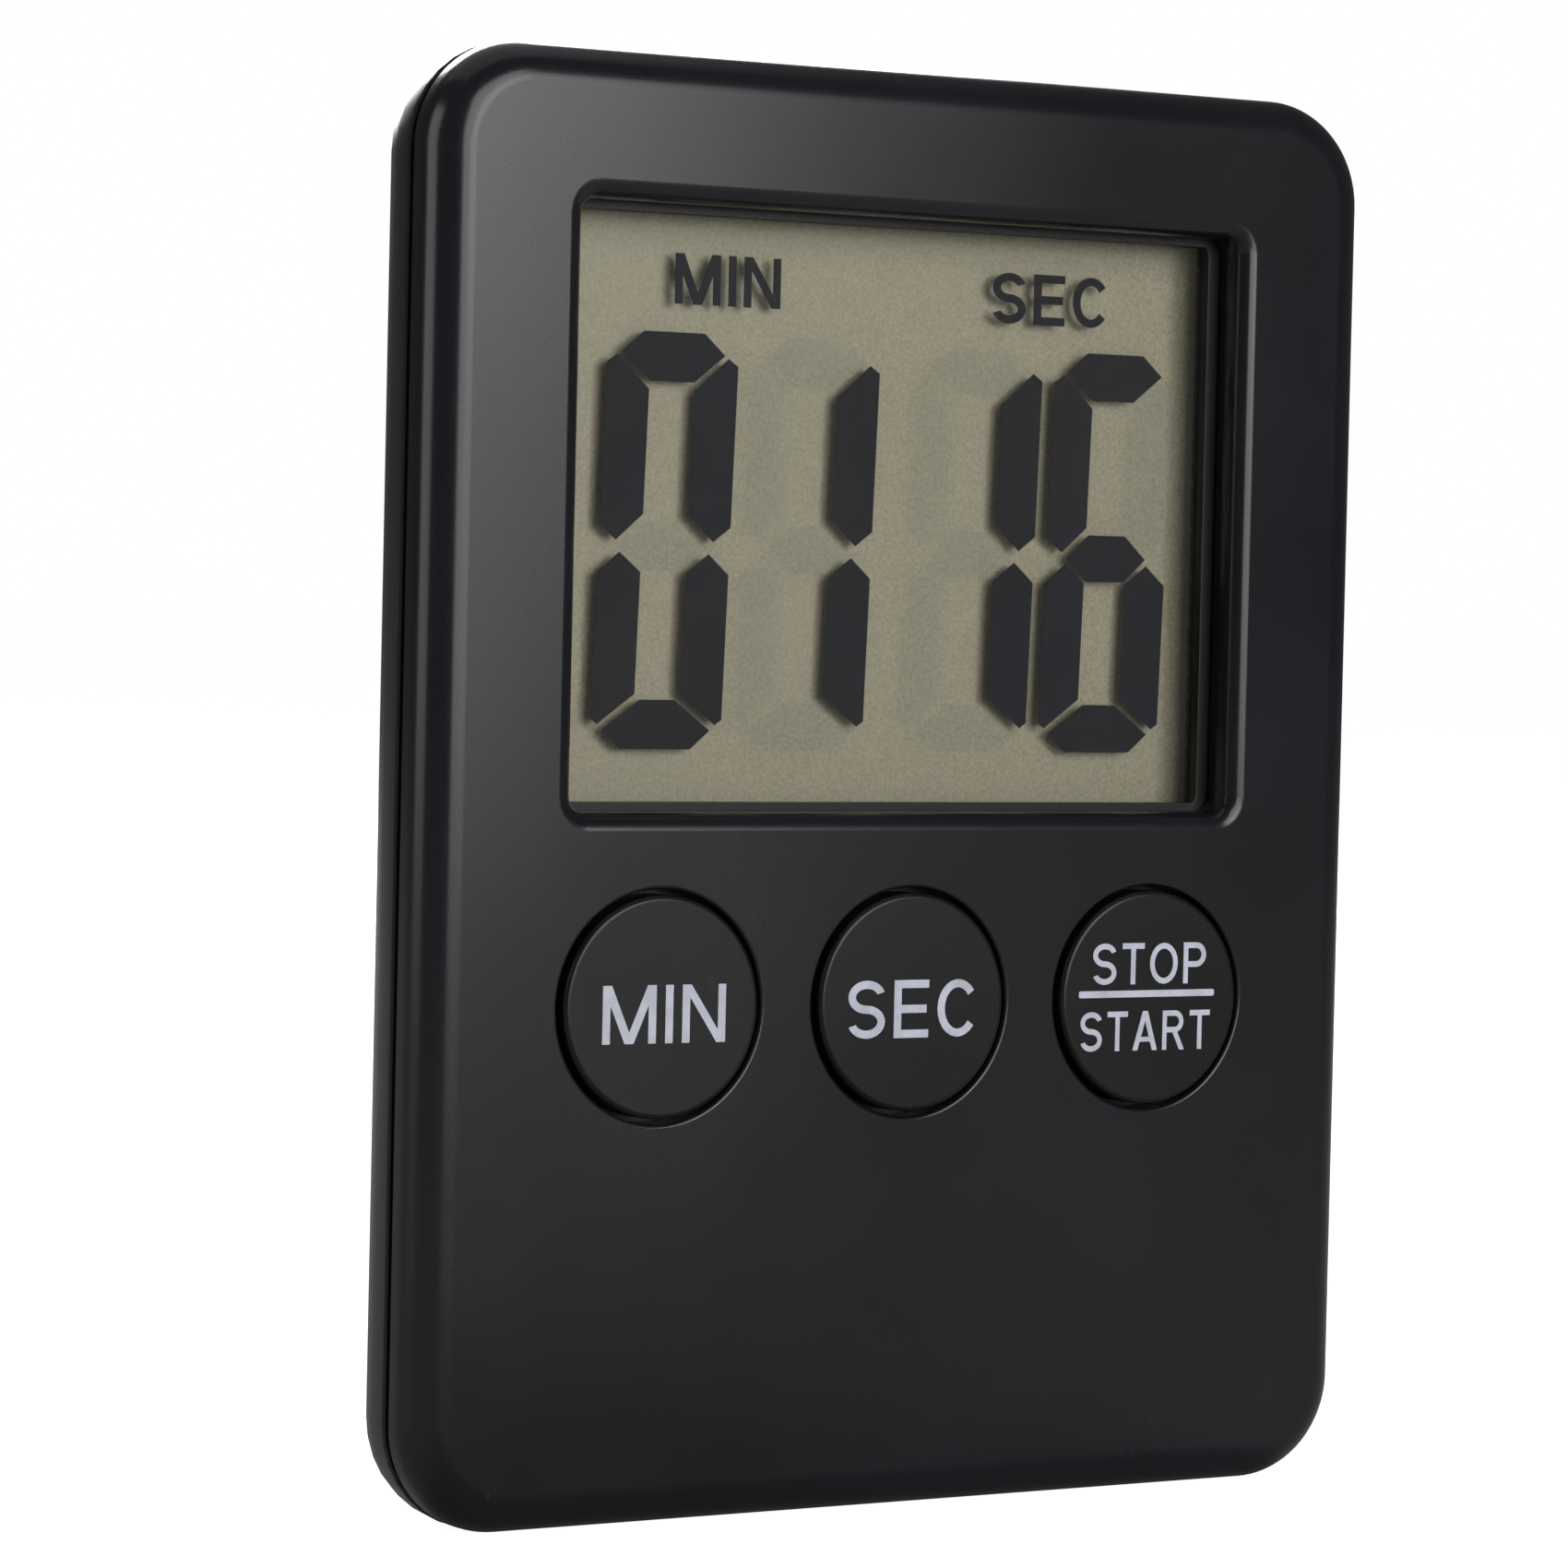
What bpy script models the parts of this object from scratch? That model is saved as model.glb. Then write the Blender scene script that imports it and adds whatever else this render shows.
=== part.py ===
"""Slim digital kitchen timer with three round push buttons and a recessed display.

Metres, +Z up, +X to the right of someone reading the display, the display faces -Y.
The origin is the middle of its footprint, on the surface that it stands on.
Depths are measured from the front face towards the back. Heights are measured from
the middle of the case. The function at() turns both into world coordinates.
"""

import math

import bmesh
import bpy
from mathutils import Matrix, Vector

MM = 0.001

# Case
BODY_WIDTH = 60.0 * MM
BODY_HEIGHT = 78.2 * MM
BODY_DEPTH = 9.6 * MM
CORNER_RADIUS = 5.8 * MM
FRONT_ROUND = 2.2 * MM
FRONT_WALL = 1.6 * MM
SIDE_WALL = 1.5 * MM
BACK_WALL = 1.3 * MM
PARTING_DEPTH = 2.95 * MM
PARTING_GROOVE = 0.45 * MM
EDGE_BREAK = 0.12 * MM
REAR_STRAIGHT = 0.4 * MM
BACK_ROUND_INSET = 5.2 * MM
TONGUE = 0.8 * MM
TONGUE_GAP = 0.25 * MM
GAP = 0.3 * MM
LAYER_GAP = 0.05 * MM
CUT_MARGIN = 1.0 * MM

# Display window in the front shell
WINDOW_WIDTH = 42.3 * MM
WINDOW_HEIGHT = 32.2 * MM
WINDOW_TOP_MARGIN = 8.02 * MM
WINDOW_CORNER = 0.9 * MM
WINDOW_ROUND = 1.05 * MM
WINDOW_DEPTH = 2.05 * MM
WINDOW_SKIRT = 1.0 * MM

# Display module
FRAME_SIDE_LEDGE = 0.7 * MM
FRAME_END_LEDGE = 0.45 * MM
FRAME_LIP = 0.65 * MM
FRAME_WALL = 0.6 * MM
FRAME_POCKET_GAP = 0.15 * MM
FRAME_CORNER = 0.4 * MM
GLASS_OVERLAP = 0.9 * MM
GLASS_LEDGE = 1.9 * MM
GLASS_THICKNESS = 0.7 * MM
POLARISER_THICKNESS = 0.15 * MM
REFLECTOR_THICKNESS = 0.2 * MM
CONNECTOR_WIDTH = 1.3 * MM
CONNECTOR_MARGIN = 1.8 * MM

# Circuit board and what stands on its back, with offsets from the middle button
BOARD_WIDTH = 44.4 * MM
BOARD_TOP_MARGIN = 7.2 * MM
BOARD_BELOW_BUTTONS = 7.5 * MM
BOARD_GAP = 0.15 * MM
BOARD_THICKNESS = 0.8 * MM
BOARD_BAY_GAP = 0.4 * MM
CHIP_RADIUS = 4.6 * MM
CHIP_GAP = 0.15 * MM
CHIP_OFFSET = (-6.0 * MM, 15.44 * MM)
CRYSTAL_RADIUS = 1.0 * MM
CRYSTAL_LENGTH = 6.0 * MM
CRYSTAL_OFFSET = (18.4 * MM, 15.44 * MM)
COIL_RADIUS = 2.1 * MM
COIL_HEIGHT = 2.0 * MM
COIL_OFFSET = (18.2 * MM, 2.44 * MM)
CAPACITOR_SIZE = (1.6 * MM, 1.1 * MM, 3.2 * MM)
CAPACITOR_OFFSET = (-18.4 * MM, 15.44 * MM)

# Push buttons and the rubber keypad under them
BUTTON_NAMES = ("button_min", "button_sec", "button_start_stop")
BUTTON_RADIUS = 5.95 * MM
BUTTON_WEB = 3.255 * MM
BUTTON_BELOW_WINDOW = 4.07 * MM
BUTTON_GAP = 0.3 * MM
BUTTON_PROUD = 0.3 * MM
BUTTON_ROUND = 0.3 * MM
BUTTON_HOLE_ROUND = 0.2 * MM
BUTTON_TRAVEL = 0.5 * MM
BUTTON_FLANGE = 0.7 * MM
BUTTON_FLANGE_THICKNESS = 0.5 * MM
BUTTON_STEM_RADIUS = 2.0 * MM
BUTTON_STEM = 0.6 * MM
KEYPAD_MARGIN_ABOVE = 1.0 * MM
KEYPAD_MARGIN = 1.8 * MM
KEYPAD_SHEET = 0.4 * MM
KEYPAD_WALL = 0.5 * MM
DOME_TOP_RADIUS = 2.2 * MM
DOME_BASE_RADIUS = 3.6 * MM

# Screws
CASE_SCREW_INSET = (5.55 * MM, 5.35 * MM)
CASE_BOSS_RADIUS = 1.9 * MM
CASE_SCREW_HEAD_RADIUS = 1.7 * MM
CASE_SCREW_HEAD = 0.7 * MM
CASE_SCREW_SHANK_RADIUS = 0.65 * MM
CASE_SCREW_LENGTH = 4.6 * MM
CASE_SCREW_SEAT = 0.85 * MM
CASE_SCREW_SINK = 0.75 * MM
BOARD_SCREW_ABOVE_BUTTONS = 4.54 * MM
BOARD_SCREW_BELOW_BUTTONS = 5.56 * MM
BOARD_BOSS_RADIUS = 1.5 * MM
BOARD_SCREW_HEAD_RADIUS = 1.4 * MM
BOARD_SCREW_HEAD = 0.6 * MM
BOARD_SCREW_SHANK_RADIUS = 0.55 * MM
BOARD_SCREW_LENGTH = 3.2 * MM
SCREW_HOLE_GAP = 0.1 * MM
DRIVE_WIDTH = 0.35 * MM
DRIVE_DEPTH = 0.3 * MM

# Battery bay, cell, contacts and cover
BAY_BELOW_FLANGE = 0.35 * MM
CELL_RADIUS = 5.8 * MM
CELL_THICKNESS = 5.4 * MM
CELL_CAP_RADIUS = 4.9 * MM
CELL_CAP_STEP = 0.35 * MM
BAY_GAP = 0.4 * MM
BAY_WALL = 0.9 * MM
BAY_FLOOR = 0.45 * MM
BAY_NOTCH_WIDTH = 9.4 * MM
COVER_RADIUS = 7.6 * MM
COVER_THICKNESS = 1.1 * MM
COVER_GAP = 0.2 * MM
COVER_LUG = 0.65 * MM
COVER_LUG_THICKNESS = 0.45 * MM
COVER_LUG_ANGLE = math.radians(24.0)
COVER_TURN = math.radians(60.0)
COIN_SLOT = (9.0 * MM, 1.6 * MM, 0.55 * MM)
CONTACT_THICKNESS = 0.2 * MM
CONTACT_WIDTH = 3.0 * MM
CONTACT_OFFSET = 3.0 * MM
CONTACT_CLEARANCE = 0.15 * MM
CONTACT_FOOT = 1.5 * MM

# Buzzer
BUZZER_ASIDE = 1.0 * MM
BUZZER_RADIUS = 6.4 * MM
BUZZER_THICKNESS = 0.2 * MM
CERAMIC_RADIUS = 4.4 * MM
BUZZER_RING = 0.6 * MM
SOUND_HOLE_RADIUS = 0.6 * MM
SOUND_HOLE_CIRCLE = 2.9 * MM
SOUND_HOLES = 6
SOUND_HOLE_TURN = math.radians(20.0)
WIRE_RADIUS = 0.3 * MM
WIRE_DRIFT = 1.2 * MM
WIRE_FOOT = 1.0 * MM

# Magnets and hanging slot
MAGNET_TOP_MARGIN = 10.85 * MM
MAGNET_SPREAD = 14.5 * MM
MAGNET_RADIUS = 5.75 * MM
MAGNET_THICKNESS = 1.5 * MM
POCKET_WALL = 0.8 * MM
HANGING_SLOT = (9.0 * MM, 4.7 * MM)
HANGING_SLOT_TOP_MARGIN = 7.15 * MM

# Fold-out stand
STAND_WIDTH = 26.0 * MM
STAND_LENGTH = 28.8 * MM
STAND_THICKNESS = 1.5 * MM
STAND_ABOVE_BAY = 3.3 * MM
STAND_SWING = math.radians(105.0)
STAND_STOP_GAP = 0.1 * MM
STAND_AXIS_BELOW_BACK = 0.95 * MM
STAND_BARREL_RADIUS = 0.75 * MM
STAND_PIN_RADIUS = 0.5 * MM
STAND_PIN = 1.1 * MM
STAND_PIN_GAP = 0.08 * MM
STAND_SWEEP_GAP = 0.1 * MM
STAND_EDGE = 0.3 * MM
NOTCH_RADIUS = 6.0 * MM
NOTCH_DEPTH = 1.2 * MM
RIB_COUNT = 3
RIB_PITCH = 1.6 * MM
RIB_WIDTH = 0.6 * MM
RIB_DEPTH = 0.25 * MM
RIB_LENGTH = 12.0 * MM

# Facets
CORNER_STEPS = 8
ROUND_STEPS = 6
BACK_STEPS = 8
HOLE_STEPS = 36
SEAT_STEPS = 28
SMALL_STEPS = 16
SHARP_ANGLE = math.radians(32.0)


def at(x, depth, height):
    """World point of a place on the case: across, behind the front face, above the middle."""
    return Vector((x, depth - (BODY_DEPTH - BUTTON_PROUD) / 2, height + BODY_HEIGHT / 2))


def material(name, colour, roughness, metallic=0.0):
    """A Principled material for one sub-part."""
    made = bpy.data.materials.new(name)
    made.use_nodes = True
    shader = made.node_tree.nodes["Principled BSDF"]
    shader.inputs["Base Color"].default_value = (*colour, 1.0)
    shader.inputs["Roughness"].default_value = roughness
    shader.inputs["Metallic"].default_value = metallic
    return made


def finish(mesh_edit, name, origin, surface):
    """Turns a closed bmesh built in world coordinates into an object with this origin."""
    bmesh.ops.recalc_face_normals(mesh_edit, faces=mesh_edit.faces)
    mesh_edit.transform(Matrix.Translation(-origin))
    mesh = bpy.data.meshes.new(name)
    mesh_edit.to_mesh(mesh)
    mesh_edit.free()
    mesh.shade_smooth()
    mesh.set_sharp_from_angle(angle=SHARP_ANGLE)
    made = bpy.data.objects.new(name, mesh)
    made.location = origin
    bpy.context.scene.collection.objects.link(made)
    if surface is not None:
        mesh.materials.append(surface)
    return made


def change(target, tool, operation):
    """Adds a Boolean to the target and hides its tool."""
    tool.hide_render = True
    tool.display_type = "WIRE"
    step = target.modifiers.new(f"{operation.lower()} {tool.name}", "BOOLEAN")
    step.operation = operation
    step.solver = "EXACT"
    step.object = tool


def cut(target, tool):
    change(target, tool, "DIFFERENCE")


def join(target, tool):
    change(target, tool, "UNION")


def loft(mesh_edit, rings, looped=False):
    """Bridges rings of equal point counts into one closed skin, capped unless looped."""
    loops = [[mesh_edit.verts.new(point) for point in ring] for ring in rings]
    pairs = list(zip(loops, loops[1:]))
    if looped:
        pairs.append((loops[-1], loops[0]))
    else:
        mesh_edit.faces.new(loops[0])
        mesh_edit.faces.new(loops[-1])
    for first, second in pairs:
        for i in range(len(first)):
            j = (i + 1) % len(first)
            mesh_edit.faces.new((first[i], first[j], second[j], second[i]))


def rectangle_ring(width, height, radius, depth, centre=(0.0, 0.0), steps=CORNER_STEPS):
    """Points of an upright rectangle with round corners, at one depth."""
    across = width / 2 - radius
    up = height / 2 - radius
    points = []
    for quarter, (side, rise) in enumerate(((1, 1), (-1, 1), (-1, -1), (1, -1))):
        for step in range(steps + 1):
            angle = math.pi / 2 * (quarter + step / steps)
            x = centre[0] + side * across + radius * math.cos(angle)
            height_there = centre[1] + rise * up + radius * math.sin(angle)
            points.append(at(x, depth, height_there))
    return points


def case_ring(inset, depth):
    """The case outline drawn in by an inset, at one depth."""
    return rectangle_ring(
        BODY_WIDTH - 2 * inset,
        BODY_HEIGHT - 2 * inset,
        CORNER_RADIUS - inset,
        depth,
    )


def window_ring(outset, depth):
    """The window's wall line grown by an outset, at one depth."""
    return rectangle_ring(
        WINDOW_WIDTH + 2 * outset,
        WINDOW_HEIGHT + 2 * outset,
        WINDOW_CORNER + outset,
        depth,
        (0.0, WINDOW_RISE),
    )


def turned(name, profile, place, surface, steps=HOLE_STEPS):
    """A piece turned about an axis along the depth. Profile holds (radius, depth) pairs."""
    edit = bmesh.new()
    rings = []
    for radius, depth in profile:
        ring = []
        for step in range(steps):
            angle = 2 * math.pi * step / steps
            x = place[0] + radius * math.cos(angle)
            ring.append(at(x, depth, place[1] + radius * math.sin(angle)))
        rings.append(ring)
    loft(edit, rings)
    return finish(edit, name, at(place[0], profile[0][1], place[1]), surface)


def cylinder(name, radius, place, depths, surface=None, steps=HOLE_STEPS):
    """A plain round bar along the depth."""
    profile = [(radius, depth) for depth in depths]
    return turned(name, profile, place, surface, steps)


def box(name, across, depths, heights, surface=None):
    """A plain block between two values each way."""
    edit = bmesh.new()
    rings = []
    for depth in depths:
        corners = ((0, 0), (1, 0), (1, 1), (0, 1))
        rings.append([at(across[i], depth, heights[j]) for i, j in corners])
    loft(edit, rings)
    middle = at(sum(across) / 2, sum(depths) / 2, sum(heights) / 2)
    return finish(edit, name, middle, surface)


def plate(name, width, heights, radius, depths, surface=None, steps=4):
    """A flat plate with round corners, centred across the case."""
    edit = bmesh.new()
    size = heights[1] - heights[0]
    middle = sum(heights) / 2
    rings = []
    for depth in depths:
        rings.append(rectangle_ring(width, size, radius, depth, (0.0, middle), steps))
    loft(edit, rings)
    return finish(edit, name, at(0.0, sum(depths) / 2, middle), surface)


def quarter_round(radius, steps=ROUND_STEPS):
    """(inset, depth) pairs of a convex quarter round, from the face to the side."""
    pairs = []
    for step in range(steps + 1):
        angle = math.pi / 2 * step / steps
        pairs.append((radius * (1 - math.sin(angle)), radius * (1 - math.cos(angle))))
    return pairs


# Depths and places that follow from the driving dimensions
REAR_START = PARTING_DEPTH + PARTING_GROOVE
BACK_ROUND_START = REAR_START + REAR_STRAIGHT
BACK_INSIDE = BODY_DEPTH - BACK_WALL
TONGUE_OUTSIDE = SIDE_WALL + TONGUE_GAP
TONGUE_INSIDE = TONGUE_OUTSIDE + TONGUE
CASE_SCREW_ACROSS = BODY_WIDTH / 2 - CASE_SCREW_INSET[0]
CASE_SCREW_UP = BODY_HEIGHT / 2 - CASE_SCREW_INSET[1]
CASE_SCREW_UNDERSIDE = BODY_DEPTH - CASE_SCREW_SINK - CASE_SCREW_HEAD
POST_START = CASE_SCREW_UNDERSIDE - CASE_SCREW_SEAT
BOSS_END = POST_START - GAP
FRAME_FRONT = WINDOW_DEPTH + TONGUE_GAP
POLARISER_FRONT = FRAME_FRONT + FRAME_LIP + LAYER_GAP
FRONT_GLASS_FRONT = POLARISER_FRONT + POLARISER_THICKNESS + LAYER_GAP
REAR_GLASS_FRONT = FRONT_GLASS_FRONT + GLASS_THICKNESS + LAYER_GAP
REFLECTOR_FRONT = REAR_GLASS_FRONT + GLASS_THICKNESS + LAYER_GAP
WINDOW_RISE = BODY_HEIGHT / 2 - WINDOW_TOP_MARGIN - WINDOW_HEIGHT / 2
VIEW_WIDTH = WINDOW_WIDTH - 2 * FRAME_SIDE_LEDGE
VIEW_HEIGHT = WINDOW_HEIGHT - 2 * FRAME_END_LEDGE
GLASS_WIDTH = VIEW_WIDTH + 2 * GLASS_OVERLAP
GLASS_TOP = WINDOW_RISE + VIEW_HEIGHT / 2 + GLASS_OVERLAP
GLASS_BOTTOM = WINDOW_RISE - VIEW_HEIGHT / 2 - GLASS_OVERLAP
GLASS_LEDGE_BOTTOM = GLASS_BOTTOM - GLASS_LEDGE
BOARD_DEPTH = REFLECTOR_FRONT + REFLECTOR_THICKNESS + BOARD_GAP
BOARD_BACK = BOARD_DEPTH + BOARD_THICKNESS
BUTTON_HOLE_RADIUS = BUTTON_RADIUS + BUTTON_GAP
BUTTON_SPACING = 2 * BUTTON_HOLE_RADIUS + BUTTON_WEB
BUTTON_HEIGHT = WINDOW_RISE - WINDOW_HEIGHT / 2 - BUTTON_BELOW_WINDOW - BUTTON_HOLE_RADIUS
BUTTON_FLANGE_RADIUS = BUTTON_HOLE_RADIUS + BUTTON_FLANGE
BOARD_TOP = BODY_HEIGHT / 2 - BOARD_TOP_MARGIN
BOARD_BOTTOM = BUTTON_HEIGHT - BOARD_BELOW_BUTTONS
BUTTON_FLANGE_DEPTH = FRONT_WALL + GAP
BUTTON_STEM_DEPTH = BUTTON_FLANGE_DEPTH + BUTTON_FLANGE_THICKNESS
BUTTON_END = BUTTON_STEM_DEPTH + BUTTON_STEM
KEYPAD_BACK = BOARD_DEPTH - LAYER_GAP * 2
KEYPAD_FRONT = KEYPAD_BACK - KEYPAD_SHEET
DOME_TOP = BUTTON_END + BUTTON_TRAVEL + LAYER_GAP * 2
BAY_RADIUS = CELL_RADIUS + BAY_GAP
BAY_OUTSIDE = BAY_RADIUS + BAY_WALL
BAY_HEIGHT = BUTTON_HEIGHT - BUTTON_FLANGE_RADIUS - BAY_BELOW_FLANGE - BAY_OUTSIDE
COVER_INSIDE = BODY_DEPTH - COVER_THICKNESS
COVER_SEAT = COVER_INSIDE - LAYER_GAP * 2
COVER_GROOVE_RADIUS = COVER_RADIUS + COVER_LUG + COVER_GAP
COVER_LUG_TOP = COVER_INSIDE + COVER_LUG_THICKNESS
CELL_BACK = COVER_SEAT - COVER_GAP
CELL_FRONT = CELL_BACK - CELL_THICKNESS
CONTACT_DEPTH = CELL_FRONT - LAYER_GAP * 2 - CONTACT_THICKNESS
BAY_FLOOR_DEPTH = CONTACT_DEPTH - LAYER_GAP
STAND_AXIS_DEPTH = BODY_DEPTH - STAND_AXIS_BELOW_BACK
STAND_AXIS_HEIGHT = BAY_HEIGHT + COVER_GROOVE_RADIUS + STAND_ABOVE_BAY
STAND_INSIDE = BODY_DEPTH - STAND_THICKNESS
STAND_END_HEIGHT = STAND_AXIS_HEIGHT + STAND_LENGTH
RECESS_FLOOR = STAND_AXIS_DEPTH - STAND_AXIS_BELOW_BACK - STAND_SWEEP_GAP
RECESS_WIDTH = STAND_WIDTH + 2 * GAP
CHIP_HEIGHT = RECESS_FLOOR - POCKET_WALL - BOARD_BACK - LAYER_GAP - CHIP_GAP
STAND_STOP = STAND_AXIS_BELOW_BACK * math.tan(STAND_SWING / 2) + STAND_STOP_GAP
RECESS_BOTTOM = STAND_AXIS_HEIGHT - STAND_STOP
RECESS_TOP = STAND_END_HEIGHT + GAP
MAGNET_INSIDE = BODY_DEPTH - MAGNET_THICKNESS
MAGNET_POCKET_FLOOR = MAGNET_INSIDE - LAYER_GAP * 2
MAGNET_POCKET_RADIUS = MAGNET_RADIUS + GAP
MAGNET_RISE = BODY_HEIGHT / 2 - MAGNET_TOP_MARGIN - MAGNET_RADIUS
HANGING_SLOT_HEIGHT = BODY_HEIGHT / 2 - HANGING_SLOT_TOP_MARGIN - HANGING_SLOT[1] / 2
BUZZER_DEPTH = BACK_INSIDE - GAP - BUZZER_THICKNESS
BUZZER_REACH = BUZZER_RADIUS + GAP + BUZZER_RING
BUZZER_PLACE = (-(COVER_GROOVE_RADIUS + BUZZER_REACH + BUZZER_ASIDE), BAY_HEIGHT - GAP * 2)

CASE_SCREW_PLACES = [
    (side * CASE_SCREW_ACROSS, rise * CASE_SCREW_UP) for rise in (1, -1) for side in (-1, 1)
]
BOARD_SCREW_HEIGHTS = (
    BUTTON_HEIGHT - BOARD_SCREW_BELOW_BUTTONS,
    BUTTON_HEIGHT + BOARD_SCREW_ABOVE_BUTTONS,
)
BOARD_SCREW_PLACES = [
    (side * BUTTON_SPACING / 2, height) for height in BOARD_SCREW_HEIGHTS for side in (-1, 1)
]
BUTTON_PLACES = [((i - 1) * BUTTON_SPACING, BUTTON_HEIGHT) for i in range(3)]
CHIP_PLACE, CRYSTAL_PLACE, COIL_PLACE, CAPACITOR_PLACE = [
    (across, BUTTON_HEIGHT + above)
    for across, above in (CHIP_OFFSET, CRYSTAL_OFFSET, COIL_OFFSET, CAPACITOR_OFFSET)
]
MAGNET_PLACES = [(side * MAGNET_SPREAD, MAGNET_RISE) for side in (-1, 1)]


def boss(target, name, place, depths, radius, shank_radius):
    """Adds a round screw boss to a shell and bores it for the screw's shank."""
    join(target, cylinder(f"{name}_post", radius, place, depths, steps=SMALL_STEPS))
    bore = (depths[0] + GAP, depths[1] + CUT_MARGIN)
    hole = shank_radius + SCREW_HOLE_GAP
    cut(target, cylinder(f"{name}_bore", hole, place, bore, steps=SMALL_STEPS))


def front_shell():
    """Shallow front tray with the window, the button holes and all screw bosses."""
    surface = material("front_shell", (0.014, 0.014, 0.016), 0.38)
    edit = bmesh.new()
    rings = [case_ring(inset, depth) for inset, depth in quarter_round(FRONT_ROUND)]
    rings.append(case_ring(0.0, PARTING_DEPTH - EDGE_BREAK))
    rings.append(case_ring(EDGE_BREAK, PARTING_DEPTH))
    rings.append(case_ring(SIDE_WALL, PARTING_DEPTH))
    rings.append(case_ring(SIDE_WALL, FRONT_WALL))
    loft(edit, rings)
    shell = finish(edit, "front_shell", at(0.0, 0.0, 0.0), surface)

    edit = bmesh.new()
    loft(edit, [window_ring(WINDOW_SKIRT, d) for d in (FRONT_WALL / 2, WINDOW_DEPTH)])
    join(shell, finish(edit, "window_skirt", at(0.0, FRONT_WALL, WINDOW_RISE), None))
    edit = bmesh.new()
    rings = [window_ring(WINDOW_ROUND, -CUT_MARGIN)]
    rings += [window_ring(outset, depth) for outset, depth in quarter_round(WINDOW_ROUND)]
    rings.append(window_ring(0.0, WINDOW_DEPTH + CUT_MARGIN))
    loft(edit, rings)
    cut(shell, finish(edit, "window_cutter", at(0.0, 0.0, WINDOW_RISE), None))

    for name, place in zip(BUTTON_NAMES, BUTTON_PLACES):
        profile = [(BUTTON_HOLE_RADIUS + BUTTON_HOLE_ROUND, -CUT_MARGIN)]
        for outset, depth in quarter_round(BUTTON_HOLE_ROUND, 2):
            profile.append((BUTTON_HOLE_RADIUS + outset, depth))
        profile.append((BUTTON_HOLE_RADIUS, FRONT_WALL + CUT_MARGIN))
        cut(shell, turned(f"{name}_hole", profile, place, None))
    for number, place in enumerate(CASE_SCREW_PLACES, 1):
        depths = (FRONT_WALL / 2, BOSS_END)
        radii = (CASE_BOSS_RADIUS, CASE_SCREW_SHANK_RADIUS)
        boss(shell, f"case_boss_{number}", place, depths, *radii)
    for number, place in enumerate(BOARD_SCREW_PLACES, 1):
        depths = (FRONT_WALL / 2, BOARD_DEPTH - GAP)
        radii = (BOARD_BOSS_RADIUS, BOARD_SCREW_SHANK_RADIUS)
        boss(shell, f"board_boss_{number}", place, depths, *radii)
    return shell


def rear_block(surface):
    """The rear shell before it is hollowed: tongue, side and elliptic back round."""
    depth_of_round = BODY_DEPTH - BACK_ROUND_START
    rings = []
    for step in range(BACK_STEPS, -1, -1):
        angle = math.pi / 2 * step / BACK_STEPS
        inset = BACK_ROUND_INSET * (1 - math.cos(angle))
        rings.append(case_ring(inset, BACK_ROUND_START + depth_of_round * math.sin(angle)))
    rings.append(case_ring(0.0, REAR_START + EDGE_BREAK))
    rings.append(case_ring(EDGE_BREAK, REAR_START))
    rings.append(case_ring(TONGUE_OUTSIDE, REAR_START))
    rings.append(case_ring(TONGUE_OUTSIDE, FRONT_WALL + GAP))
    edit = bmesh.new()
    loft(edit, rings)
    return finish(edit, "rear_shell", at(0.0, BODY_DEPTH, 0.0), surface)


def rear_hollow():
    """The space inside the rear shell. What is cut from it stays solid in the shell."""
    inside_start = BACK_ROUND_START + GAP
    depth_inside = BACK_INSIDE - inside_start
    inset_inside = BACK_ROUND_INSET + BACK_WALL / 3 - TONGUE_INSIDE
    rings = [case_ring(TONGUE_INSIDE, FRONT_WALL + GAP - CUT_MARGIN)]
    for step in range(BACK_STEPS + 1):
        angle = math.pi / 2 * step / BACK_STEPS
        inset = TONGUE_INSIDE + inset_inside * (1 - math.cos(angle))
        rings.append(case_ring(inset, inside_start + depth_inside * math.sin(angle)))
    edit = bmesh.new()
    loft(edit, rings)
    return finish(edit, "rear_hollow", at(0.0, FRONT_WALL, 0.0), None)


def stand_recess(shell, hollow):
    """Thickens the back round the stand, then cuts its recess, pin holes and nail notch."""
    rim = POCKET_WALL * 2
    half = RECESS_WIDTH / 2
    pad_depths = (RECESS_FLOOR - POCKET_WALL, BACK_INSIDE + BACK_WALL / 2)
    pad_heights = (RECESS_BOTTOM - POCKET_WALL, RECESS_TOP + POCKET_WALL)
    cut(hollow, box("stand_pad", (-half - rim, half + rim), pad_depths, pad_heights))
    notch_place = (0.0, RECESS_TOP - NOTCH_RADIUS / 3)
    notch_floor = BODY_DEPTH - NOTCH_DEPTH
    notch_pad = (notch_floor - POCKET_WALL, BACK_INSIDE + BACK_WALL / 2)
    pad_radius = NOTCH_RADIUS + POCKET_WALL
    cut(hollow, cylinder("notch_pad", pad_radius, notch_place, notch_pad))
    through = BODY_DEPTH + CUT_MARGIN
    heights = (RECESS_BOTTOM, RECESS_TOP)
    cut(shell, box("stand_recess", (-half, half), (RECESS_FLOOR, through), heights))
    cut(shell, cylinder("nail_notch", NOTCH_RADIUS, notch_place, (notch_floor, through)))
    reach = half + STAND_PIN + GAP
    radius = STAND_PIN_RADIUS + STAND_PIN_GAP
    cut(shell, cross_bar("stand_pin_hole", radius, reach))


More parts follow.
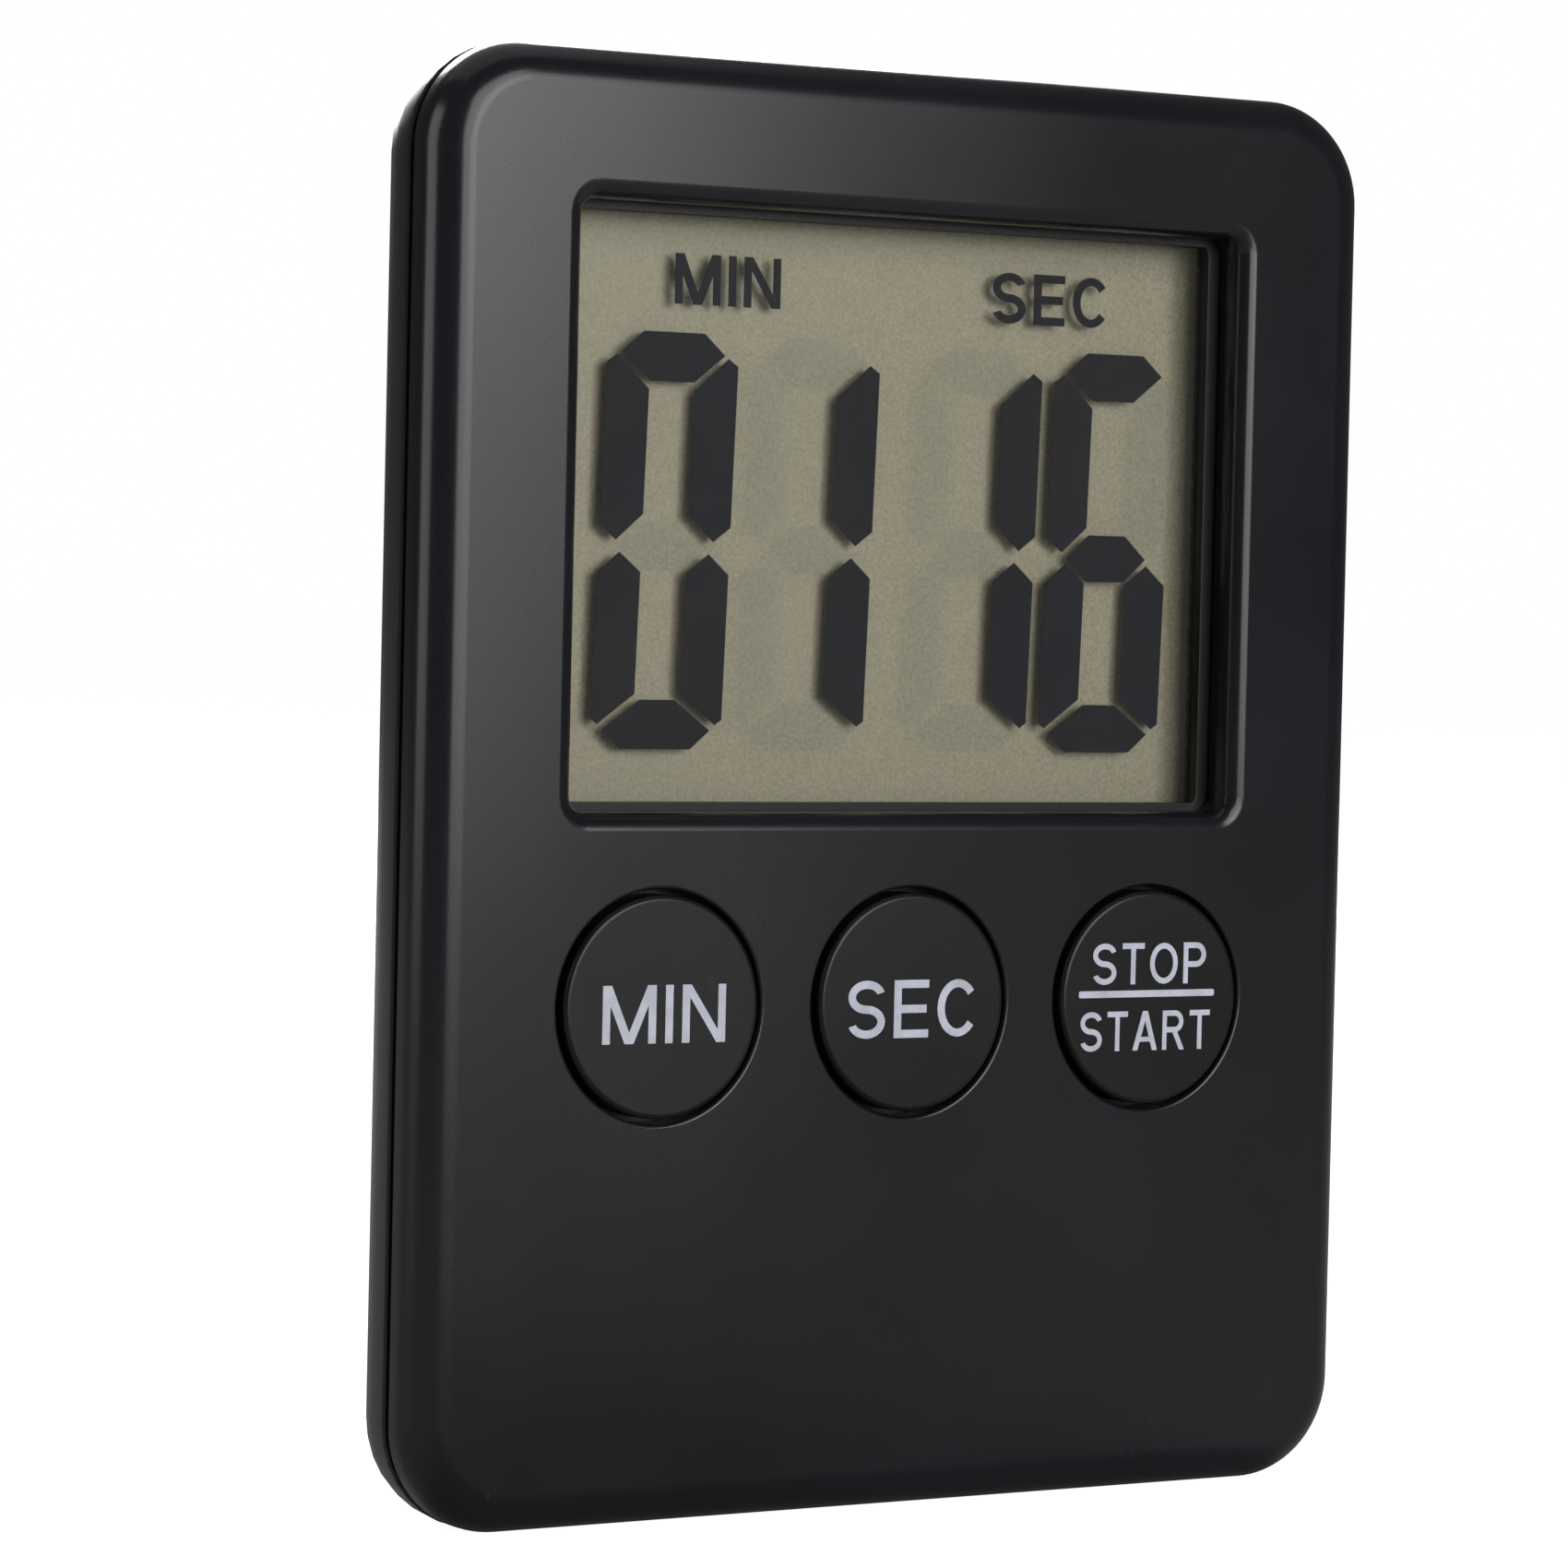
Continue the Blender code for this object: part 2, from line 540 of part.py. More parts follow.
def cross_bar(name, radius, reach, surface=None):
    """A round bar across the case on the stand's axis."""
    edit = bmesh.new()
    rings = []
    for x in (-reach, reach):
        ring = []
        for step in range(SMALL_STEPS):
            angle = 2 * math.pi * step / SMALL_STEPS
            depth = STAND_AXIS_DEPTH + radius * math.cos(angle)
            ring.append(at(x, depth, STAND_AXIS_HEIGHT + radius * math.sin(angle)))
        rings.append(ring)
    loft(edit, rings)
    return finish(edit, name, at(0.0, STAND_AXIS_DEPTH, STAND_AXIS_HEIGHT), surface)


def battery_bay(shell, hollow):
    """Adds the closed round bay for the cell, with the seat and groove for its cover."""
    place = (0.0, BAY_HEIGHT)
    inner_depth = BACK_INSIDE + BACK_WALL / 2
    collar = (COVER_SEAT - BAY_WALL, inner_depth)
    collar_radius = COVER_GROOVE_RADIUS + POCKET_WALL
    cut(hollow, cylinder("bay_collar", collar_radius, place, collar))
    tube = (BAY_FLOOR_DEPTH - BAY_FLOOR, inner_depth)
    cut(hollow, cylinder("bay_tube", BAY_OUTSIDE, place, tube))
    through = BODY_DEPTH + CUT_MARGIN
    cut(shell, cylinder("bay_bore", BAY_RADIUS, place, (BAY_FLOOR_DEPTH, through)))
    seat_radius = COVER_RADIUS + COVER_GAP
    cut(shell, cylinder("cover_seat", seat_radius, place, (COVER_SEAT, through)))
    groove = (COVER_SEAT, COVER_LUG_TOP + LAYER_GAP * 2)
    cut(shell, cylinder("lug_groove", COVER_GROOVE_RADIUS, place, groove))
    for number in range(2):
        turn = math.pi * number - COVER_TURN
        depths = (COVER_SEAT, through)
        cut(shell, lug(f"lug_way_{number + 1}", turn, COVER_GAP, depths))
    half = BAY_NOTCH_WIDTH / 2
    notch_depths = (BAY_FLOOR_DEPTH, COVER_SEAT - BAY_WALL)
    notch_heights = (BAY_HEIGHT + BAY_RADIUS / 2, BAY_HEIGHT + BAY_OUTSIDE + CUT_MARGIN)
    cut(shell, box("contact_way", (-half, half), notch_depths, notch_heights))


def lug(name, turn, growth, depths):
    """A bayonet lug of the cover, or the way cut for it when it is grown."""
    half = COVER_LUG_ANGLE / 2 + growth / COVER_RADIUS
    radii = (COVER_RADIUS - COVER_LUG, COVER_RADIUS + COVER_LUG + growth)
    steps = 4
    edit = bmesh.new()
    rings = []
    for depth in depths:
        ring = []
        for radius, sign in ((radii[1], 1), (radii[0], -1)):
            for step in range(steps + 1):
                angle = turn + sign * half * (2 * step / steps - 1)
                x = radius * math.cos(angle)
                ring.append(at(x, depth, BAY_HEIGHT + radius * math.sin(angle)))
        rings.append(ring)
    loft(edit, rings)
    return finish(edit, name, at(0.0, depths[0], BAY_HEIGHT), None)


def buzzer_seat(shell, hollow):
    """A ring that locates the buzzer disc, and the sound holes behind the disc."""
    depths = (BUZZER_DEPTH + BUZZER_THICKNESS / 2, BACK_INSIDE + BACK_WALL / 2)
    ring = cylinder("buzzer_ring", BUZZER_REACH, BUZZER_PLACE, depths)
    through = (depths[0] - CUT_MARGIN, depths[1] + CUT_MARGIN)
    cut(ring, cylinder("buzzer_space", BUZZER_RADIUS + GAP, BUZZER_PLACE, through))
    cut(hollow, ring)
    sound_depths = (BACK_INSIDE - CUT_MARGIN, BODY_DEPTH + CUT_MARGIN)
    for number in range(SOUND_HOLES + 1):
        angle = 2 * math.pi * number / SOUND_HOLES + SOUND_HOLE_TURN
        reach = SOUND_HOLE_CIRCLE if number < SOUND_HOLES else 0.0
        x = BUZZER_PLACE[0] + reach * math.cos(angle)
        place = (x, BUZZER_PLACE[1] + reach * math.sin(angle))
        name = f"sound_hole_{number + 1}"
        cut(shell, cylinder(name, SOUND_HOLE_RADIUS, place, sound_depths, steps=12))


def case_screw_post(shell, hollow, number, place):
    """A post that meets the front shell's boss, with the boss's way, seat and screw hole."""
    through = BODY_DEPTH + CUT_MARGIN
    boss_way = CASE_BOSS_RADIUS + GAP
    shank = CASE_SCREW_SHANK_RADIUS + GAP
    head = CASE_SCREW_HEAD_RADIUS + GAP
    seat = CASE_SCREW_UNDERSIDE - LAYER_GAP
    post = (POST_START - POCKET_WALL, through)
    name = f"screw_post_{number}"
    cut(hollow, cylinder(name, boss_way + POCKET_WALL, place, post, steps=SEAT_STEPS))
    profile = [(boss_way, BACK_ROUND_START - CUT_MARGIN * 2), (boss_way, POST_START)]
    profile += [(shank, POST_START), (shank, seat), (head, seat), (head, through)]
    cut(shell, turned(f"screw_hole_{number}", profile, place, None, SEAT_STEPS))


def rear_shell():
    """Rear tray with its tongue, pockets, bay, slot, sound holes and screw seats."""
    surface = material("rear_shell", (0.016, 0.016, 0.018), 0.42)
    shell = rear_block(surface)
    hollow = rear_hollow()
    cut(shell, hollow)
    through = BODY_DEPTH + CUT_MARGIN
    stand_recess(shell, hollow)
    for side, place in zip(("left", "right"), MAGNET_PLACES):
        pad = (MAGNET_POCKET_FLOOR - POCKET_WALL, through)
        radius = MAGNET_POCKET_RADIUS + POCKET_WALL
        cut(hollow, cylinder(f"magnet_pad_{side}", radius, place, pad))
        pocket = (MAGNET_POCKET_FLOOR, through)
        cut(shell, cylinder(f"magnet_pocket_{side}", MAGNET_POCKET_RADIUS, place, pocket))
    battery_bay(shell, hollow)
    buzzer_seat(shell, hollow)
    for number, place in enumerate(CASE_SCREW_PLACES, 1):
        case_screw_post(shell, hollow, number, place)

    slot_heights = [HANGING_SLOT_HEIGHT + side * HANGING_SLOT[1] / 2 for side in (-1, 1)]
    slot_depths = (BACK_INSIDE - CUT_MARGIN, through)
    slot_radius = HANGING_SLOT[1] / 2 - LAYER_GAP
    cut(shell, plate("hanging_slot", HANGING_SLOT[0], slot_heights, slot_radius, slot_depths))
    return shell


def display_frame():
    """Black holder round the glass. Its front lip is the ledge seen inside the window."""
    surface = material("display_frame", (0.02, 0.02, 0.022), 0.5)
    pocket = GLASS_WIDTH + 2 * FRAME_POCKET_GAP
    top = GLASS_TOP + FRAME_POCKET_GAP
    bottom = GLASS_LEDGE_BOTTOM - FRAME_POCKET_GAP
    back = BOARD_DEPTH - GAP
    heights = (bottom - FRAME_WALL, top + FRAME_WALL)
    width = pocket + 2 * FRAME_WALL
    frame = plate("display_frame", width, heights, FRAME_WALL, (FRAME_FRONT, back), surface)
    hollow = (FRAME_FRONT + FRAME_LIP, back + CUT_MARGIN)
    cut(frame, plate("glass_pocket", pocket, (bottom, top), FRAME_CORNER, hollow))
    view_heights = [WINDOW_RISE + side * VIEW_HEIGHT / 2 for side in (-1, 1)]
    view_depths = (FRAME_FRONT - CUT_MARGIN, FRAME_FRONT + FRAME_LIP + CUT_MARGIN)
    cut(frame, plate("view_opening", VIEW_WIDTH, view_heights, FRAME_CORNER, view_depths))
    return frame


def display_layers():
    """Polariser, two glass plates, reflector and the rubber connector under the ledge."""
    half = GLASS_WIDTH / 2
    full = (GLASS_BOTTOM, GLASS_TOP)
    layers = (
        ("front_polariser", POLARISER_FRONT, POLARISER_THICKNESS, full, (0.45, 0.42, 0.33), 0.3),
        (
            "front_glass",
            FRONT_GLASS_FRONT,
            GLASS_THICKNESS,
            (GLASS_LEDGE_BOTTOM, GLASS_TOP),
            (0.55, 0.6, 0.55),
            0.05,
        ),
        ("rear_glass", REAR_GLASS_FRONT, GLASS_THICKNESS, full, (0.55, 0.6, 0.55), 0.05),
        ("reflector", REFLECTOR_FRONT, REFLECTOR_THICKNESS, full, (0.36, 0.33, 0.25), 0.45),
    )
    for name, front, thickness, heights, colour, roughness in layers:
        surface = material(name, colour, roughness)
        box(name, (-half, half), (front, front + thickness), heights, surface)
    reach = half - CONNECTOR_MARGIN
    middle = (GLASS_LEDGE_BOTTOM + GLASS_BOTTOM) / 2
    heights = (middle - CONNECTOR_WIDTH / 2, middle + CONNECTOR_WIDTH / 2)
    depths = (REAR_GLASS_FRONT, BOARD_DEPTH - LAYER_GAP * 2)
    surface = material("rubber_connector", (0.5, 0.12, 0.1), 0.7)
    box("rubber_connector", (-reach, reach), depths, heights, surface)


def circuit_board():
    """Board with a round cutout for the battery bay and holes for its screws."""
    surface = material("circuit_board", (0.05, 0.13, 0.05), 0.45)
    depths = (BOARD_DEPTH, BOARD_BACK)
    heights = (BOARD_BOTTOM, BOARD_TOP)
    board = plate("circuit_board", BOARD_WIDTH, heights, CUT_MARGIN, depths, surface)
    through = (BOARD_DEPTH - CUT_MARGIN, BOARD_BACK + CUT_MARGIN)
    cutout = BAY_OUTSIDE + BOARD_BAY_GAP
    cut(board, cylinder("bay_cutout", cutout, (0.0, BAY_HEIGHT), through))
    for number, place in enumerate(BOARD_SCREW_PLACES, 1):
        radius = BOARD_SCREW_SHANK_RADIUS + GAP
        name = f"board_hole_{number}"
        cut(board, cylinder(name, radius, place, through, steps=SMALL_STEPS))
    return board


def board_parts():
    """Potted chip, crystal can, buzzer coil and capacitor on the board's back."""
    base = BOARD_BACK + LAYER_GAP
    profile = []
    for inset, drop in reversed(quarter_round(CHIP_HEIGHT, 4)):
        profile.append((CHIP_RADIUS - inset * 2, base + CHIP_HEIGHT - drop))
    potting = material("chip_cover", (0.01, 0.01, 0.01), 0.35)
    turned("chip_cover", profile, CHIP_PLACE, potting, SEAT_STEPS)

    edit = bmesh.new()
    rings = []
    ends = [CRYSTAL_PLACE[1] + side * CRYSTAL_LENGTH / 2 for side in (-1, 1)]
    for height in ends:
        ring = []
        for step in range(SMALL_STEPS):
            angle = 2 * math.pi * step / SMALL_STEPS
            x = CRYSTAL_PLACE[0] + CRYSTAL_RADIUS * math.cos(angle)
            depth = base + CRYSTAL_RADIUS + CRYSTAL_RADIUS * math.sin(angle)
            ring.append(at(x, depth, height))
        rings.append(ring)
    loft(edit, rings)
    surface = material("crystal", (0.6, 0.6, 0.6), 0.25, 1.0)
    finish(edit, "crystal", at(CRYSTAL_PLACE[0], base, CRYSTAL_PLACE[1]), surface)

    waist = COIL_RADIUS * 0.72
    brim = COIL_HEIGHT / 5
    profile = [
        (COIL_RADIUS, base),
        (COIL_RADIUS, base + brim),
        (waist, base + brim),
        (waist, base + COIL_HEIGHT - brim),
        (COIL_RADIUS, base + COIL_HEIGHT - brim),
        (COIL_RADIUS, base + COIL_HEIGHT),
    ]
    surface = material("buzzer_coil", (0.45, 0.18, 0.06), 0.4)
    turned("buzzer_coil", profile, COIL_PLACE, surface, SEAT_STEPS)

    width, thickness, length = CAPACITOR_SIZE
    across = (CAPACITOR_PLACE[0] - width / 2, CAPACITOR_PLACE[0] + width / 2)
    heights = (CAPACITOR_PLACE[1] - length / 2, CAPACITOR_PLACE[1] + length / 2)
    surface = material("capacitor", (0.45, 0.3, 0.12), 0.4)
    box("capacitor", across, (base, base + thickness), heights, surface)


def buttons():
    """Three round caps with a retaining flange and a stem, each with its origin on its axis."""
    surface = material("button", (0.013, 0.013, 0.014), 0.35)
    for name, place in zip(BUTTON_NAMES, BUTTON_PLACES):
        profile = []
        for inset, depth in quarter_round(BUTTON_ROUND, 4):
            profile.append((BUTTON_RADIUS - inset, depth - BUTTON_PROUD))
        profile.append((BUTTON_RADIUS, BUTTON_FLANGE_DEPTH))
        profile.append((BUTTON_FLANGE_RADIUS, BUTTON_FLANGE_DEPTH))
        profile.append((BUTTON_FLANGE_RADIUS, BUTTON_STEM_DEPTH))
        profile.append((BUTTON_STEM_RADIUS, BUTTON_STEM_DEPTH))
        profile.append((BUTTON_STEM_RADIUS, BUTTON_END))
        turned(name, profile, place, surface)


def keypad():
    """Rubber sheet with a hollow dome under each button, notched round the screw bosses."""
    surface = material("rubber_keypad", (0.25, 0.25, 0.24), 0.8)
    width = 2 * (BUTTON_SPACING + DOME_BASE_RADIUS + KEYPAD_MARGIN)
    reach = DOME_BASE_RADIUS + KEYPAD_MARGIN_ABOVE
    heights = (BUTTON_HEIGHT - reach, BUTTON_HEIGHT + reach)
    depths = (KEYPAD_FRONT, KEYPAD_BACK)
    sheet = plate("rubber_keypad", width, heights, CUT_MARGIN, depths, surface)
    for name, place in zip(BUTTON_NAMES, BUTTON_PLACES):
        dome = [(DOME_TOP_RADIUS, DOME_TOP), (DOME_BASE_RADIUS, KEYPAD_BACK - LAYER_GAP)]
        join(sheet, turned(f"{name}_dome", dome, place, None, SEAT_STEPS))
        hollow = [
            (DOME_TOP_RADIUS - KEYPAD_WALL, DOME_TOP + KEYPAD_WALL),
            (DOME_BASE_RADIUS - KEYPAD_WALL, KEYPAD_BACK),
            (DOME_BASE_RADIUS - KEYPAD_WALL, KEYPAD_BACK + CUT_MARGIN),
        ]
        cut(sheet, turned(f"{name}_dome_hollow", hollow, place, None, SEAT_STEPS))
    for number, place in enumerate(BOARD_SCREW_PLACES, 1):
        radius = BOARD_BOSS_RADIUS + GAP
        through = (KEYPAD_FRONT - CUT_MARGIN, KEYPAD_BACK + CUT_MARGIN)
        name = f"keypad_notch_{number}"
        cut(sheet, cylinder(name, radius, place, through, steps=SMALL_STEPS))
    return sheet


def screw(name, place, sizes, underside, surface):
    """Pan-head screw driven from the back, with a cross recess in its head."""
    head_radius, head, shank_radius, length = sizes
    profile = [
        (shank_radius / 2, underside - length),
        (shank_radius, underside - length + shank_radius),
        (shank_radius, underside),
        (head_radius, underside),
        (head_radius, underside + head / 2),
        (head_radius - head / 2, underside + head),
    ]
    made = turned(name, profile, place, surface, SMALL_STEPS)
    for number, arms in enumerate(((head_radius, DRIVE_WIDTH), (DRIVE_WIDTH, head_radius)), 1):
        across = [place[0] + side * arms[0] / 2 for side in (-1, 1)]
        heights = [place[1] + side * arms[1] / 2 for side in (-1, 1)]
        depths = (underside + head - DRIVE_DEPTH, underside + head + CUT_MARGIN)
        cut(made, box(f"{name}_drive_{number}", across, depths, heights))


def screws():
    """Four case screws from the back and four board screws."""
    surface = material("screw", (0.5, 0.5, 0.48), 0.3, 1.0)
    sizes = (CASE_SCREW_HEAD_RADIUS, CASE_SCREW_HEAD, CASE_SCREW_SHANK_RADIUS, CASE_SCREW_LENGTH)
    for number, place in enumerate(CASE_SCREW_PLACES, 1):
        screw(f"case_screw_{number}", place, sizes, CASE_SCREW_UNDERSIDE, surface)
    sizes = (
        BOARD_SCREW_HEAD_RADIUS,
        BOARD_SCREW_HEAD,
        BOARD_SCREW_SHANK_RADIUS,
        BOARD_SCREW_LENGTH,
    )
    for number, place in enumerate(BOARD_SCREW_PLACES, 1):
        screw(f"board_screw_{number}", place, sizes, BOARD_BACK + LAYER_GAP, surface)


def cell():
    """Button cell: the stepped cap faces the front, the flat can faces the cover."""
    rim = CELL_CAP_STEP / 2
    profile = [
        (CELL_CAP_RADIUS - rim, CELL_FRONT),
        (CELL_CAP_RADIUS, CELL_FRONT + rim),
        (CELL_CAP_RADIUS, CELL_FRONT + CELL_CAP_STEP),
        (CELL_RADIUS - rim, CELL_FRONT + CELL_CAP_STEP),
        (CELL_RADIUS, CELL_FRONT + CELL_CAP_STEP + rim),
        (CELL_RADIUS, CELL_BACK - rim),
        (CELL_RADIUS - rim, CELL_BACK),
    ]
    surface = material("button_cell", (0.72, 0.72, 0.7), 0.22, 1.0)
    turned("button_cell", profile, (0.0, BAY_HEIGHT), surface)


def strip(name, across, path, surface):
    """Bent metal strip: a (height, depth) centre line given thickness and a width."""
    half = CONTACT_THICKNESS / 2
    points = [Vector(point) for point in path]
    sides = ([], [])
    for i, point in enumerate(points):
        before = (point - points[i - 1]).normalized() if i else None
        after = (points[i + 1] - point).normalized() if i + 1 < len(points) else None
        before = before or after
        after = after or before
        along = (before + after).normalized()
        normal = Vector((-along.y, along.x)) * (half / max(along.dot(after), 0.5))
        sides[0].append(point + normal)
        sides[1].append(point - normal)
    outline = sides[0] + sides[1][::-1]
    edit = bmesh.new()
    loft(edit, [[at(x, depth, height) for height, depth in outline] for x in across])
    height, depth = points[0]
    finish(edit, name, at(sum(across) / 2, depth, height), surface)


def contacts():
    """Negative strip on the bay floor and positive spring beside the cell."""
    surface = material("contact", (0.7, 0.6, 0.35), 0.3, 1.0)
    solder_depth = BOARD_DEPTH - LAYER_GAP - CONTACT_THICKNESS
    edge = BAY_HEIGHT + BAY_OUTSIDE + CONTACT_CLEARANCE
    foot = edge + CONTACT_FOOT
    half = CONTACT_WIDTH / 2
    floor_depth = CONTACT_DEPTH + CONTACT_THICKNESS / 2
    path = [
        (BAY_HEIGHT - CELL_CAP_RADIUS / 2, floor_depth),
        (edge, floor_depth),
        (edge, solder_depth),
        (foot, solder_depth),
    ]
    strip("contact_negative", (-CONTACT_OFFSET - half, -CONTACT_OFFSET + half), path, surface)
    beside = BAY_HEIGHT + CELL_RADIUS + CONTACT_THICKNESS
    path = [(beside, CELL_BACK - CUT_MARGIN), (beside, solder_depth), (foot, solder_depth)]
    strip("contact_positive", (CONTACT_OFFSET - half, CONTACT_OFFSET + half), path, surface)


def battery_cover():
    """Round quarter-turn cover with two lugs and a coin slot, its origin on its axis."""
    surface = material("battery_cover", (0.016, 0.016, 0.018), 0.42)
    place = (0.0, BAY_HEIGHT)
    profile = [(COVER_RADIUS, COVER_INSIDE)]
    for inset, drop in reversed(quarter_round(EDGE_BREAK, 2)):
        profile.append((COVER_RADIUS - inset, BODY_DEPTH - drop))
    cover = turned("battery_cover", profile, place, surface)
    for number in range(2):
        depths = (COVER_INSIDE, COVER_LUG_TOP)
        join(cover, lug(f"cover_lug_{number + 1}", math.pi * number, 0.0, depths))
    length, width, depth = COIN_SLOT
    heights = (BAY_HEIGHT - width / 2, BAY_HEIGHT + width / 2)
    depths = (BODY_DEPTH - depth, BODY_DEPTH + CUT_MARGIN)
    cut(cover, box("coin_slot", (-length / 2, length / 2), depths, heights))
    return cover


def buzzer():
    """Piezo disc, its ceramic layer and the two wires to the board."""
    brass = material("buzzer_disc", (0.7, 0.5, 0.2), 0.3, 1.0)
    depths = (BUZZER_DEPTH, BUZZER_DEPTH + BUZZER_THICKNESS)
    cylinder("buzzer_disc", BUZZER_RADIUS, BUZZER_PLACE, depths, brass)
    front = BUZZER_DEPTH - LAYER_GAP - BUZZER_THICKNESS
    white = material("buzzer_ceramic", (0.75, 0.74, 0.7), 0.4)
    depths = (front, front + BUZZER_THICKNESS)
    cylinder("buzzer_ceramic", CERAMIC_RADIUS, BUZZER_PLACE, depths, white)
    board_end = BOARD_BACK + LAYER_GAP + WIRE_RADIUS
    routes = (
        ("buzzer_wire_red", (0.5, 0.02, 0.02), CERAMIC_RADIUS / 4, front),
        ("buzzer_wire_black", (0.01, 0.01, 0.01), CERAMIC_RADIUS + 2 * WIRE_RADIUS, BUZZER_DEPTH),
    )
    for name, colour, across, pad in routes:
        start = (BUZZER_PLACE[0] + across, BUZZER_PLACE[1] + CERAMIC_RADIUS / 2)
        end = (start[0] + WIRE_DRIFT, BOARD_BOTTOM + WIRE_FOOT)
        wire(name, start, end, pad - LAYER_GAP - WIRE_RADIUS, board_end, material(name, colour, 0.5))


def wire(name, start, end, start_depth, end_depth, surface):
    """A short insulated wire in one smooth S between two solder points."""
    curve = bpy.data.curves.new(name, "CURVE")
    curve.dimensions = "3D"
    curve.bevel_depth = WIRE_RADIUS
    curve.bevel_resolution = 2
    curve.use_fill_caps = True
    count = 14
    spline = curve.splines.new("POLY")
    spline.points.add(count - 1)
    for i in range(count):
        share = i / (count - 1)
        ease = share * share * (3 - 2 * share)
        x = start[0] + (end[0] - start[0]) * share
        height = start[1] + (end[1] - start[1]) * share
        depth = start_depth + (end_depth - start_depth) * ease
        spline.points[i].co = (*at(x, depth, height), 1.0)
    curve.materials.append(surface)
    bpy.context.scene.collection.objects.link(bpy.data.objects.new(name, curve))


def magnets():
    """Two round magnets flush with the back."""
    surface = material("magnet", (0.35, 0.35, 0.36), 0.35, 1.0)
    for side, place in zip(("left", "right"), MAGNET_PLACES):
        profile = [(MAGNET_RADIUS, MAGNET_INSIDE)]
        for inset, drop in reversed(quarter_round(EDGE_BREAK, 2)):
            profile.append((MAGNET_RADIUS - inset, BODY_DEPTH - drop))
        turned(f"magnet_{side}", profile, place, surface)


def stand():
    """Fold-out plate with a hinge barrel and pins. Its origin lies on the hinge axis."""
    surface = material("stand", (0.016, 0.016, 0.018), 0.42)
    half = STAND_WIDTH / 2
    edit = bmesh.new()
    top = STAND_END_HEIGHT
    steps = 6
    outline = [(top, STAND_INSIDE), (top, BODY_DEPTH - STAND_EDGE), (top - STAND_EDGE, BODY_DEPTH)]
    for step in range(steps + 1):
        angle = math.pi / 2 * step / steps
        height = STAND_AXIS_HEIGHT - STAND_AXIS_BELOW_BACK * math.sin(angle)
        outline.append((height, STAND_AXIS_DEPTH + STAND_AXIS_BELOW_BACK * math.cos(angle)))
    for step in range(steps + 1):
        angle = math.pi / 2 * step / steps
        reach = STAND_BARREL_RADIUS
        height = STAND_AXIS_HEIGHT - reach * math.cos(angle)
        outline.append((height, STAND_AXIS_DEPTH - reach * math.sin(angle)))
    outline.append((STAND_AXIS_HEIGHT + STAND_BARREL_RADIUS * 2, STAND_INSIDE))
    loft(edit, [[at(x, depth, height) for height, depth in outline] for x in (-half, half)])
    axis = at(0.0, STAND_AXIS_DEPTH, STAND_AXIS_HEIGHT)
    made = finish(edit, "stand", axis, surface)
    join(made, cross_bar("stand_pins", STAND_PIN_RADIUS, half + STAND_PIN))
    for number in range(RIB_COUNT):
        height = top - RIB_PITCH * (number + 1.5)
        heights = (height - RIB_WIDTH / 2, height + RIB_WIDTH / 2)
        depths = (BODY_DEPTH - RIB_DEPTH, BODY_DEPTH + CUT_MARGIN)
        across = (-RIB_LENGTH / 2, RIB_LENGTH / 2)
        cut(made, box(f"grip_groove_{number + 1}", across, depths, heights))
    return made


def main():
    for leftover in list(bpy.data.objects):
        bpy.data.objects.remove(leftover)
    front_shell()
    rear_shell()
    display_frame()
    display_layers()
    circuit_board()
    board_parts()
    buttons()
    keypad()
    screws()
    cell()
    contacts()
    battery_cover()
    buzzer()
    magnets()
    stand()


main()
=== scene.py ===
"""Looks of a slim digital kitchen timer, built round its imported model.

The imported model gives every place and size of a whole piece. The visible moulded pieces
are rebuilt finely here, small fittings keep their own shape with softened shading, and each
piece gets a finish made of nodes. Metres, +Z up, the display faces -Y.
"""

import logging
import math
from dataclasses import dataclass
from enum import Enum
from typing import ClassVar, Iterable, Iterator, Sequence

import bmesh
import bpy
from mathutils import Euler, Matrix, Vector


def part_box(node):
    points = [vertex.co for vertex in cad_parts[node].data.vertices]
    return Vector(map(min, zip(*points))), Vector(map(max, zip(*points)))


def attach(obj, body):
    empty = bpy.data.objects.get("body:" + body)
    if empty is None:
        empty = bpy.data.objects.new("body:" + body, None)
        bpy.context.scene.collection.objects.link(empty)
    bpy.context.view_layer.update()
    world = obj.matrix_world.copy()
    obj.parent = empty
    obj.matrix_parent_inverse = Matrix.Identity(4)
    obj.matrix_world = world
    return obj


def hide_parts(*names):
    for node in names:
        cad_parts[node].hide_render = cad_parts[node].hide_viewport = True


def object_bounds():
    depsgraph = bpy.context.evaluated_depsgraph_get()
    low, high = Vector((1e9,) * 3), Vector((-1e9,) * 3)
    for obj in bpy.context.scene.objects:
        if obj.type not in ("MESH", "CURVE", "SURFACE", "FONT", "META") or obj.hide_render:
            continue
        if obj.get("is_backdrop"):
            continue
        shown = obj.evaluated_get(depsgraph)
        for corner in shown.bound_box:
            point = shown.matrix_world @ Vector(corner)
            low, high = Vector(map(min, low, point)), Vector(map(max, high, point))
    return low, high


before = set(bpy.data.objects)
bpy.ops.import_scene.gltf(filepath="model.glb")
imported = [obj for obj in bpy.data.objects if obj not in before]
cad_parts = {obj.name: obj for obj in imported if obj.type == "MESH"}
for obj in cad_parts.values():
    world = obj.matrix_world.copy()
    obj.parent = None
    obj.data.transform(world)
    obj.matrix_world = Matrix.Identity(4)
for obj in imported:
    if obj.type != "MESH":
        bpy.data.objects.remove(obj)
CAD_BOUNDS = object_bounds()

LOG = logging.getLogger("kitchen_timer")
MM = 0.001
MERGE = 1e-6
SHARP_ANGLE = math.radians(32.0)
FLAT_ANGLE = math.radians(0.3)

FULL = (0.0, 1.0)
MIDDLE = (0.3, 0.7)
NARROW = (0.35, 0.65)

